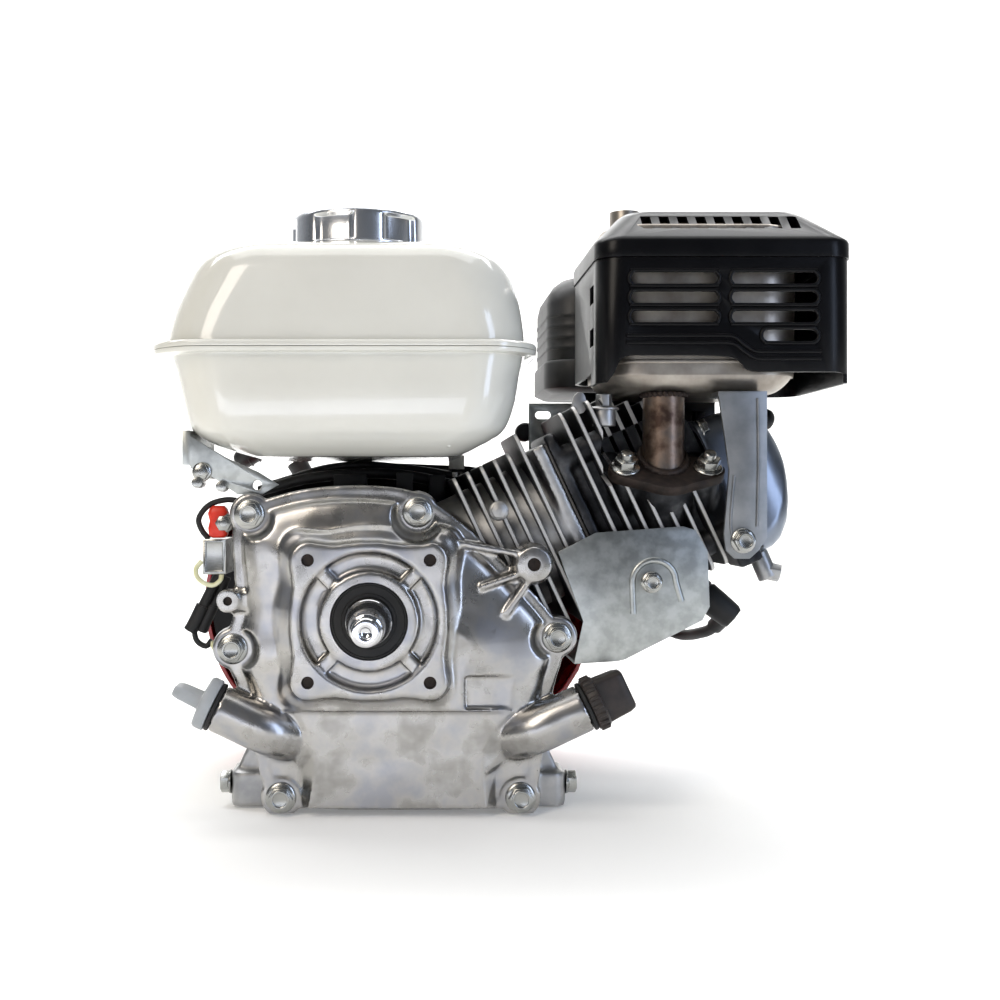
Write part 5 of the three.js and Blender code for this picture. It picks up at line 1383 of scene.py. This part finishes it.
class ENGINE_OT_fan_side(Operator):
    """Fan cover, recoil starter with its reel, rope and handle, flywheel, ignition coil and stop switch"""
    bl_idname = "engine.fan_side"
    bl_label = "Fan cover and starter"

    def execute(self, context):
        shell = shape_skin([[(x, y, z) for x, z in fan_outline(i)] for y, i in
                            ((62, 0), (120, 0), (123.5, 0.9), (125.8, 2.6), (127, 5.2))])
        inside = shape_skin([[(x, y, z) for x, z in fan_outline(i + 2.5)] for y, i in
                             ((60, 0), (118, 0), (122, 1.2), (124.5, 5))])
        lip = cut_piece("fan_cover", [shell], [inside, rod_y(66, 0, SHAFT_Z, 118, 132, 96)], 0.6)
        put(lip, "red_enamel", nodes=["fan_cover"], angle=50)
        baffle = cut_piece("fan_baffle", [slab(fan_outline(5), 59.4, 61)],
                           [rod_y(22, 0, SHAFT_Z, 50, 70), shape_box(100, 160, 50, 70, 0, 200)], 0.4)
        put(baffle, "black_enamel")
        crown = cut_piece("fan_crown_baffle", [slab(fan_outline(-0.8), 57.6, 59.2)],
                          [shape_box(-200, 200, 50, 70, -20, 166), shape_box(98, 200, 50, 70, 0, 260)], 0.3)
        put(crown, "black_enamel")
        bolts = [aimed_bolt((92 * math.cos(a), 127, SHAFT_Z + 92 * math.sin(a)), (0, 1, 0), 8, 6, 5, 4)
                 for a in (math.radians(d) for d in (150, 215, 262))]
        put(plain_piece("fan_cover_bolts", bolts, 0.15), "zinc_plated_steel")
        y0, y1 = RECOIL_Y, 172
        profile = [(70, y0), (84, y0), (84, y0 + 2.4), (83, y0 + 3.4), (80.6, y0 + 6), (76.6, y1 - 8),
                   (75, y1 - 4.4), (72, y1 - 1.4), (68, y1), (24, y1), (21, y1 - 2), (0, y1 - 2),
                   (0, y1 - 4.5), (22, y1 - 4.5), (25, y1 - 2.5), (66, y1 - 2.5), (73, y1 - 8),
                   (77, y0 + 4), (70, y0 + 3)]
        slots = []
        for k in range(FACE_SLOTS):
            spin = Matrix.Rotation(2 * math.pi * k / FACE_SLOTS, 4, "Y")
            slots.append(moved(moved(shape_box(46, 62, y1 - 8, y1 + 3, -3.5, 3.5), spin),
                               Matrix.Translation((0, 0, SHAFT_Z))))
        for k in range(RIM_SLOTS):
            spin = Matrix.Rotation(2 * math.pi * k / RIM_SLOTS + 0.1, 4, "Y")
            side = moved(shape_box(70, 90, y0 + 12, y1 - 12, -3, 3), spin)
            if not 1 < k < 5:
                slots.append(moved(side, Matrix.Translation((0, 0, SHAFT_Z))))
        slots.append(shape_rod(3.2, HANDLE_AT - PULL * 44, HANDLE_AT))
        eyelet = shape_turned([(3.2, -40), (6.4, -40), (7.4, -9.5), (7.4, -7.4), (6.4, -6.5), (4.2, -6.5),
                               (3.2, -7.6)], HANDLE_AT, PULL, 40)
        case = cut_piece("recoil_case", [turned_y(profile, 0, SHAFT_Z, 96),
                                         shape_rod(6, HANDLE_AT - PULL * 40, HANDLE_AT - PULL * 8)], slots,
                         0.4)
        put(case, "red_enamel", nodes=["recoil_case"], angle=50)
        put(plain_piece("rope_eyelet", [eyelet]), "black_nylon")
        bolts = [aimed_bolt((77.6 * math.cos(a), y0 + 4.6, SHAFT_Z + 77.6 * math.sin(a)), (0, 1, 0), 7, 5.2,
                            5) for a in (math.radians(d) for d in (60, 180, 300))]
        put(plain_piece("recoil_bolts", bolts, 0.15), "zinc_plated_steel")
        reel = turned_y([(5.4, 144), (50, 144), (50, 147), (40, 149), (40, 155), (50, 157), (50, 160),
                         (5.4, 160)], 0, SHAFT_Z, 72)
        put(plain_piece("starter_reel", [reel], 0.4), "black_nylon", "reel", ["starter_reel"])
        across = Vector((-PULL.z, 0, PULL.x))
        middle = HANDLE_AT + PULL * 14
        grip = []
        for t, r in ((-38, 3), (-37, 5.6), (-34.5, 7.4), (-31, 8.4), (-24, 8.5), (-12, 7.6), (0, 7.4),
                     (12, 7.6), (24, 8.5), (31, 8.4), (34.5, 7.4), (37, 5.6), (38, 3)):
            grip.append([middle + across * t + PULL * (0.9 * r * math.cos(a))
                         + Vector((0, 1, 0)) * (r * math.sin(a))
                         for a in (2 * math.pi * k / 32 for k in range(32))])
        stem = shape_turned([(0, 0), (5.6, 0), (6.6, 1.4), (7.4, 12), (0, 14)], HANDLE_AT, PULL, 36)
        ribs = []
        for t in (-28, -22, -16, 16, 22, 28):
            path = [middle + across * t + PULL * (0.95 * 8 * math.cos(a))
                    + Vector((0, 1, 0)) * (8.2 * math.sin(a))
                    for a in (math.pi * k / 10 for k in range(-4, 15))]
            ribs.append(shape_tube(path, 0.9, 10, 1.5))
        handle = plain_piece("starter_handle", [shape_skin(grip), stem] + ribs)
        put(handle, "black_nylon", "handle", ["starter_handle"], angle=60)
        rope = plain_piece("starter_rope", [shape_rod(2.2, HANDLE_AT - PULL * 12, HANDLE_AT + PULL * 2, 20)])
        put(rope, "cream_vinyl", None)
        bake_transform(rope)
        wheel = [(13.4, 64), (22, 64), (22, 76), (66, 76), (70, 74), (78, 74), (78, 98), (60, 98), (56, 94),
                 (26, 94), (22, 98), (13.4, 97)]
        blades = []
        for k in range(FAN_BLADES):
            curve = [(38 + 37 * t, 5 * math.sin(t * 2.2) - 2) for t in (i / 8 for i in range(9))]
            ring = [(x, z - 1.2) for x, z in curve] + [(x, z + 1.2) for x, z in reversed(curve)]
            blade = moved(slab(ring, 93, 114), Matrix.Rotation(2 * math.pi * k / FAN_BLADES, 4, "Y"))
            blades.append(moved(blade, Matrix.Translation((0, 0, SHAFT_Z))))
        put(plain_piece("flywheel", [turned_y(wheel, 0, SHAFT_Z, 96)] + blades, 0.3), "dull_cast_aluminium",
            "crank", ["flywheel"])
        cup = turned_y([(6.2, 99), (33, 99), (33, 124), (31, 124), (31, 101.5), (6.2, 101.5)], 0, SHAFT_Z, 72)
        put(plain_piece("starter_cup", [cup], 0.3), "zinc_plated_steel", "crank")
        coil = joined([shape_box(78.8, 84, 72, 90, 96, 128), shape_box(78.8, 97, 76, 88, 96, 100),
                       shape_box(78.8, 97, 76, 88, 124, 128)])
        put(plain_piece("coil_core", [coil], 0.4), "strap_steel")
        put(plain_piece("coil_winding", [shape_loft([(100.5, 82, 98, 70, 92, 5),
                                                     (123.5, 82, 98, 70, 92, 5)], 8)], 0.8), "black_nylon")
        switch = cut_piece("stop_switch_body", [rod_y(8, *STOP_SWITCH, RECOIL_Y, 136, 48, 0.8)], [], 0)
        put(switch, "black_nylon", nodes=["stop_switch_body"])
        knob = joined([rod_y(6.2, *STOP_SWITCH, 136.4, 141, 40, 0.5),
                       shape_box(-91.2, -88, 137, 147, 63.4, 76)])
        put(plain_piece("stop_switch_knob", [knob], 0.6), "red_vinyl", "stop_switch", ["stop_switch_knob"])
        return {"FINISHED"}


def lever_shape(x, z, y0, y1, angle, length, knob):
    a = math.radians(angle)
    tip = (x + length * math.cos(a), z + length * math.sin(a))
    side = (3.5 * math.sin(a), -3.5 * math.cos(a))
    bar = slab([(x - side[0], z - side[1]), (x + side[0], z + side[1]), (tip[0] + side[0], tip[1] + side[1]),
                (tip[0] - side[0], tip[1] - side[1])], y0, y1)
    return [bar, rod_y(6, x, z, y0, y1), rod_y(knob, tip[0], tip[1], y0, y1 + 8, 32, 1)]


class ENGINE_OT_intake(Operator):
    """Carburettor, insulator, levers, fuel hose, and the air cleaner with its element and wing nut"""
    bl_idname = "engine.intake"
    bl_label = "Intake and air cleaner"

    def execute(self, context):
        voxel = in_mm(settings().case_voxel)
        add = [shape_box(151, 185, 65, 95, 171, 201), rod_y(16, *INTAKE_BORE, 61, 97),
               rod_y(14.2, *INTAKE_BORE, 90, 127), shape_turned([(0, 0), (12, 0), (18, 3), (19, 8),
                                                                 (19, 22), (0, 24)], (168, 80, 148), Z_AXIS,
                                                                48),
               shape_tube([(168, 112, 185), (168, 121, 187), (*INTAKE_ELBOW, 196), (*INTAKE_ELBOW, 222)],
                          15, 40, 3)]
        trim = [rod_y(10, *INTAKE_BORE, 50, 116), rod_z(11, *INTAKE_ELBOW, 190, 230),
                shape_box(140, 200, 50, 61.2, 160, 210)]
        carburetor = casting("carburetor", add, [], voxel, 4, 0.5, trim)
        put(carburetor, "dull_cast_aluminium", nodes=["carburetor"])
        small = [aimed_bolt((168, 80, 148), (0, 0, -1), 9, 6, 5, 2),
                 aimed_bolt((186, 78, 190), (1, 0, 0), 6, 4.4, 7),
                 aimed_bolt((158, 70, 201), (0, 0, 1), 6, 4.4, 4),
                 aimed_bolt((178, 90, 201), (0, 0, 1), 6, 4.4, 4)]
        small += [rod_y(3.4, 150, 176, 74, 78), shape_tube([(151, 76, 186), (147.5, 76, 186)], 2.6, 16, 1)]
        put(plain_piece("carburetor_screws", small, 0.15), "zinc_plated_steel")
        insulator = cut_piece("intake_insulator", [shape_loft([(43.4, 148, 188, -203, -167, 8),
                                                               (60.6, 148, 188, -203, -167, 8)])], [], 0)
        insulator.data.transform(Matrix(((1, 0, 0, 0), (0, 0, 1, 0), (0, -1, 0, 0), (0, 0, 0, 1))))
        boolean(insulator, [rod_y(10, *INTAKE_BORE, 40, 64)], "DIFFERENCE")
        put(insulator, "black_nylon", nodes=["intake_insulator"])
        bracket = cut_piece("control_bracket", [shape_box(98, 134, 47, 49, 196, 232),
                                                shape_box(98, 134, 41, 49, 196, 198)],
                            [rod_y(2.7, 116, 214, 40, 60), slot_shape(102, 112, 222, 227, 40, 60)], 0.3)
        put(bracket, "galvanised_steel", nodes=["control_bracket"])
        for name, body, finish_name, facts in (
                ("throttle_lever", "throttle", "black_nylon", (116, 214, 50, 53, 180, 20, 6)),
                ("choke_lever", "choke", "black_nylon", (144, 192, 99, 102, 205, 20, 6)),
                ("fuel_valve_lever", "fuel_valve", "red_vinyl", (150, 164, 100, 103, 270, 20, 5))):
            low, high = box_mm(name)
            x, z, y0, y1, angle, length, knob = facts
            obj = cut_piece(name, lever_shape(x, z, low.y, low.y + 3, angle, length, knob), [], 0.5)
            put(obj, finish_name, body, [name])
        route = [(52, 46, 189.3), (52, 46, 184), (63, 50, 176), (90, 53, 182), (112, 57, 191),
                 (130, 65, 190), (141, 75, 186.5), (147.5, 76, 186)]
        put(plain_piece("fuel_hose", [shape_tube(route, 3.5, 20, 1.5)]), "nitrile_rubber",
            nodes=["fuel_hose"])
        clips = [shape_turned([(3.5, 0), (4.2, 0), (4.2, 3), (3.5, 3)], (52, 46, 185), Z_AXIS, 32),
                 shape_turned([(3.5, 0), (4.2, 0), (4.2, 3), (3.5, 3)], (143, 75.3, 186.3), (1, 0.1, -0.1),
                              32)]
        put(plain_piece("hose_clips", clips), "zinc_plated_steel")
        tray = shape_loft([(240, 116, 222, 56, 146, 18), (243, 110, 226, 51, 151, 22),
                           (259, 110, 226, 51, 151, 22), (261, 111, 225, 52, 150, 21)], 10)
        hollow = shape_loft([(243.5, 114, 222, 55, 147, 18), (262, 114, 222, 55, 147, 18)], 10)
        base = cut_piece("air_cleaner_base", [tray], [hollow, rod_z(12, *INTAKE_ELBOW, 215, 250)], 0.5)
        put(base, "black_nylon", nodes=["air_cleaner_base"])
        neck = turned_z([(12, 222), (15, 222), (15, 243.5), (12, 243.5)], *INTAKE_ELBOW)
        put(plain_piece("air_cleaner_neck", [neck, rod_z(3, *CLEANER_STUD, 242, 326)], 0.3), "strap_steel")
        levels = [(261.3, 112, 224, 53, 149, 20), (298, 112, 224, 53, 149, 20),
                  (305, 113.5, 222.5, 54.5, 147.5, 21), (311, 117.5, 218.5, 58.5, 143.5, 23),
                  (315.5, 123, 213, 64, 138, 22), (318, 130, 206, 71, 131, 20)]
        inner = [(z - 1.6, x0 + 2.5, x1 - 2.5, y0 + 2.5, y1 - 2.5, r - 2) for z, x0, x1, y0, y1, r in levels]
        ribs = [shape_loft([(268 + 7 * k, 111.6, 224.4, 52.6, 149.4, 20),
                            (270 + 7 * k, 111.6, 224.4, 52.6, 149.4, 20)], 10) for k in range(4)]
        cover = cut_piece("air_cleaner_cover", [shape_loft(levels, 12)] + ribs,
                          [shape_loft(inner, 12), rod_z(3.6, *CLEANER_STUD, 300, 330)], 0.5)
        put(cover, "black_nylon", "cleaner_cover", ["air_cleaner_cover"])
        foam = cut_piece("filter_element", [shape_loft([(244, 122, 214, 63, 139, 26),
                                                        (296, 122, 214, 63, 139, 26)], 10)],
                         [shape_loft([(240, 140, 196, 81, 121, 16), (292, 140, 196, 81, 121, 16)], 10),
                          rod_z(4, *CLEANER_STUD, 280, 300)], 2)
        put(foam, "filter_foam", nodes=["filter_element"])
        wings = [shape_skin([[(168 + s * t, y, z) for y, z in ring]
                             for t, ring in ((4, [(98.6, 320), (103.4, 320), (103.4, 324.6),
                                                  (98.6, 324.6)]),
                                             (9, [(99.2, 320.6), (102.8, 320.6), (102.8, 327),
                                                  (99.2, 327)]),
                                             (14.5, [(99.4, 322.6), (102.6, 322.6), (102.6, 331),
                                                     (99.4, 331)]),
                                             (16, [(99.8, 324.6), (102.2, 324.6), (102.2, 330),
                                                   (99.8, 330)]))]) for s in (-1, 1)]
        nut = cut_piece("wing_nut", [turned_z([(0, 318.5), (8.5, 318.5), (7, 321), (6, 326), (0, 326)],
                                              *CLEANER_STUD)] + wings,
                        [rod_z(3.4, *CLEANER_STUD, 315, 326.6)], 0.6)
        put(nut, "zinc_plated_steel", "wing_nut", ["wing_nut"])
        return {"FINISHED"}


class ENGINE_OT_caps(Operator):
    """Oil filler caps with their gaskets, and the spark plug cap with its lead"""
    bl_idname = "engine.caps"
    bl_label = "Oil caps and plug cap"

    def execute(self, context):
        at, out = NECKS["left"]
        seat = at + out * 3.1
        square = Vector((out.z, 0, -out.x))
        grip = []
        for t, half_y, half_n in ((2, 11, 6.4), (5, 11, 4.4), (8, 10.5, 3.6), (18.5, 9.4, 3.4),
                                  (21.5, 8.6, 3.0), (22.5, 7.6, 2.2)):
            ring = rounded_ring(0, -half_y, half_y, -half_n, half_n, half_n * 0.7, 5)
            grip.append([seat + out * t + Y_AXIS * a + square * b for a, b, _ in ring])
        flange = shape_turned([(0, 0), (14.2, 0), (14.5, 0.6), (14.5, 5), (13.6, 6.4), (9, 7), (0, 7.2)],
                              seat, out, 48)
        left = cut_piece("oil_cap_left", [flange, shape_skin(grip),
                                          shape_rod(8.3, at - out * 14, seat + out)], [], 0.4)
        put(left, "grey_nylon", "oil_cap_left", ["oil_cap_left"])
        put(plain_piece("dipstick", [shape_rod(1.7, at - out * 27, at - out * 13, 24, 0.4)]),
            "zinc_plated_steel", "oil_cap_left")
        at, out = NECKS["right"]
        seat = at + out * 3.1
        square = Vector((out.z, 0, -out.x))
        block = []
        for t, half_y, half_n in ((5, 8, 12.5), (8, 7.4, 12.2), (19, 7, 11.6), (22, 6.2, 10.8),
                                  (22.8, 5.4, 9.8)):
            ring = rounded_ring(0, -half_y, half_y, -half_n, half_n, 3, 5)
            block.append([seat + out * t + Y_AXIS * a + square * b for a, b, _ in ring])
        knurl = []
        for k in range(18):
            a = 2 * math.pi * k / 18
            centre = seat + (Y_AXIS * math.cos(a) + square * math.sin(a)) * 14
            knurl.append(shape_rod(1.3, centre + out * 0.6, centre + out * 6, 12, 0.4))
        flange = shape_turned([(0, 0), (13.8, 0), (14.2, 0.6), (14.2, 6), (13.4, 7), (0, 7)], seat, out, 48)
        right = plain_piece("oil_cap_right", [flange, shape_skin(block),
                                              shape_rod(8.3, at - out * 14, seat + out)] + knurl, 0.3)
        put(right, "brown_nylon", "oil_cap_right", ["oil_cap_right"])
        for side, body in (("left", "oil_cap_left_seat"), ("right", "oil_cap_right_seat")):
            at, out = NECKS[side]
            ring = shape_turned([(9.2, 0.5), (13.2, 0.5), (13.6, 1.0), (13.6, 2.2), (13.2, 2.7),
                                 (9.2, 2.7)], at, out, 48)
            put(plain_piece(f"oil_gasket_{side}", [ring]), "nitrile_rubber", body, [f"oil_gasket_{side}"])
        start = PLUG_AT + PLUG_OUT * 10
        profile = [(5.4, 0), (7.8, 0), (8.6, 0.8), (8.6, 2.4), (7.9, 3.2), (8.9, 4.6), (8.6, 14), (7.9, 24),
                   (6.6, 26.4), (0, 27), (0, 16), (5.4, 15)]
        elbow = start + PLUG_OUT * 21.5
        cap = plain_piece("plug_cap", [shape_turned(profile, start, PLUG_OUT, 48),
                                       shape_tube([elbow, elbow + Vector((-2, 8, -5)),
                                                   elbow + Vector((-4, 14, -9))], 5, 24, 1.5)])
        put(cap, "nitrile_rubber", "plug_cap", ["plug_cap"])
        head = elbow + Vector((-4, 14, -9))
        route = [head - Vector((-1.7, 6, -3.9)), head, head + Vector((-4, 12, -5)), (196, 58, 84),
                 (178, 72, 92), (150, 80, 104), (128, 82, 110), (97, 82, 112)]
        lead = plain_piece("plug_lead", [shape_tube(route, 3.5, 20, 2)])
        put(lead, "nitrile_rubber", None)
        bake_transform(lead)
        return {"FINISHED"}


class ENGINE_OT_internals(Operator):
    """Finishes on the frame's own internals: piston, rod, camshaft and governor gear"""
    bl_idname = "engine.internals"
    bl_label = "Internals"

    def execute(self, context):
        for name, finish_name in (("piston", "milled_aluminium"), ("connecting_rod", "dull_cast_aluminium"),
                                  ("camshaft", "ground_steel"), ("governor_gear", "black_nylon")):
            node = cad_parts[name]
            if not node.data.materials:
                node.data.materials.append(None)
            for place in node.material_slots:
                place.material = FINISH[finish_name]
        return {"FINISHED"}


# The stage, in metres: the camera, and the lamps as name, place, aim, width, height, power and colour.
CAMERA_PLACE = (0.0192, -0.757, 0.1705)
CAMERA_LENS, CAMERA_SHIFT = 45.5, 0.095
LAMPS = (
    ("key", (-0.62, -0.95, 0.95), (0.02, 0, 0.16), 0.5, 0.9, 7.8, "#FFF5E8"),
    ("fill", (0.95, -0.85, 0.42), (0.05, 0, 0.14), 0.26, 0.9, 4.0, "#CFE0FF"),
    ("low", (-0.25, -1.0, 0.03), (0.02, 0, 0.1), 0.9, 0.1, 1.0, "#E8EEFF"),
    ("top", (0.05, 0.1, 1.5), (0.05, 0, 0.1), 1.5, 1.0, 9, "#FFFFFF"),
    ("rear", (0.3, 1.3, 1.2), (0.05, 0, 0.2), 1.2, 0.6, 5, "#FFFFFF"),
    ("backdrop", (0.0, 0.75, 1.7), (0.0, 1.7, 0.25), 2.6, 0.8, 44, "#FFFFFF"),
)
SKY_FRONT, SKY_BACK, SKY_STRENGTH = "#6E7278", "#E4E8EE", 0.62

# The floor, in millimetres, with the cove that it rises into behind the engine.
FLOOR_Z, FLOOR_FRONT, FLOOR_HALF_WIDTH = -1.0, -3000, 3500
COVE_START, COVE_RADIUS, COVE_TOP = 900, 900, 3000


def area_light(name, place, aim, width, height, power, colour):
    """Rectangular lamp that faces a point."""
    data = bpy.data.lights.new(name, "AREA")
    data.shape, data.size, data.size_y, data.energy = "RECTANGLE", width, height, power
    data.color = linear(colour)[:3]
    lamp = bpy.data.objects.new(name, data)
    lamp.location = place
    lamp.rotation_euler = (Vector(aim) - Vector(place)).to_track_quat("-Z", "Y").to_euler()
    bpy.context.scene.collection.objects.link(lamp)


class ENGINE_OT_stage(Operator):
    """Camera, pale floor and soft studio light"""
    bl_idname = "engine.stage"
    bl_label = "Stage"

    def execute(self, context):
        lens = bpy.data.cameras.new("camera")
        lens.lens, lens.shift_x = CAMERA_LENS, CAMERA_SHIFT
        lens.dof.use_dof = False
        camera = bpy.data.objects.new("camera", lens)
        camera.location = CAMERA_PLACE
        camera.rotation_euler = (math.radians(90), 0, 0)
        bpy.context.scene.collection.objects.link(camera)
        bpy.context.scene.camera = camera
        curve = [(FLOOR_FRONT, FLOOR_Z), (COVE_START, FLOOR_Z)]
        for k in range(1, 17):
            a = math.pi / 2 * k / 16
            curve.append((COVE_START + COVE_RADIUS * math.sin(a), FLOOR_Z + COVE_RADIUS * (1 - math.cos(a))))
        curve.append((COVE_START + COVE_RADIUS, COVE_TOP))
        points = [Vector((x, y, z)) for x in (-FLOOR_HALF_WIDTH, FLOOR_HALF_WIDTH) for y, z in curve]
        count = len(curve)
        faces = [(k, k + count, k + count + 1, k + 1) for k in range(count - 1)]
        floor = new_object("floor", (points, faces))
        floor.data.shade_smooth()
        floor.data.materials.append(FINISH["floor_paper"])
        for lamp in LAMPS:
            area_light(*lamp)
        world = bpy.data.worlds.new("studio")
        world.use_nodes = True
        tree = world.node_tree
        back = tree.nodes["Background"]
        place = add_node(tree, "ShaderNodeTexCoord")
        parts = add_node(tree, "ShaderNodeSeparateXYZ", None, None, {"Vector": (place, "Generated")})
        ramp = add_node(tree, "ShaderNodeValToRGB", None, None, {"Fac": (parts, "Y")})
        ramp.color_ramp.elements[0].position, ramp.color_ramp.elements[0].color = 0.0, linear(SKY_FRONT)
        ramp.color_ramp.elements[1].position, ramp.color_ramp.elements[1].color = 0.6, linear(SKY_BACK)
        tree.links.new(ramp.outputs["Color"], back.inputs["Color"])
        back.inputs["Strength"].default_value = SKY_STRENGTH
        view = bpy.context.scene.view_settings
        view.view_transform, view.look, view.exposure = "Standard", "None", 0.0
        bpy.context.scene.world = world
        return {"FINISHED"}


STEPS = (ENGINE_OT_finishes, ENGINE_OT_stage, ENGINE_OT_crankcase, ENGINE_OT_side_cover, ENGINE_OT_bolts,
         ENGINE_OT_shaft, ENGINE_OT_cylinder, ENGINE_OT_rocker_cover, ENGINE_OT_exhaust, ENGINE_OT_guard,
         ENGINE_OT_tank, ENGINE_OT_shroud, ENGINE_OT_electrics, ENGINE_OT_fan_side, ENGINE_OT_intake,
         ENGINE_OT_caps, ENGINE_OT_internals)


class ENGINE_PT_panel(Panel):
    """Buttons for every piece, and the sizes and colours that they take"""
    bl_idname = "ENGINE_PT_panel"
    bl_label = "Small gasoline engine"
    bl_space_type = "VIEW_3D"
    bl_region_type = "UI"
    bl_category = "Engine"

    def draw(self, context):
        for step in STEPS:
            self.layout.operator(step.bl_idname, text=step.bl_label)
        for name in EngineSettings.__annotations__:
            self.layout.prop(context.scene.engine_settings, name)


CLASSES = (EngineSettings, *STEPS, ENGINE_PT_panel)


def register():
    for made in CLASSES:
        bpy.utils.register_class(made)
    bpy.types.Scene.engine_settings = PointerProperty(type=EngineSettings)


def unregister():
    del bpy.types.Scene.engine_settings
    for made in reversed(CLASSES):
        bpy.utils.unregister_class(made)


def main():
    register()
    for step in STEPS:
        family, name = step.bl_idname.split(".")
        getattr(getattr(bpy.ops, family), name)()


if __name__ == "__main__":
    main()
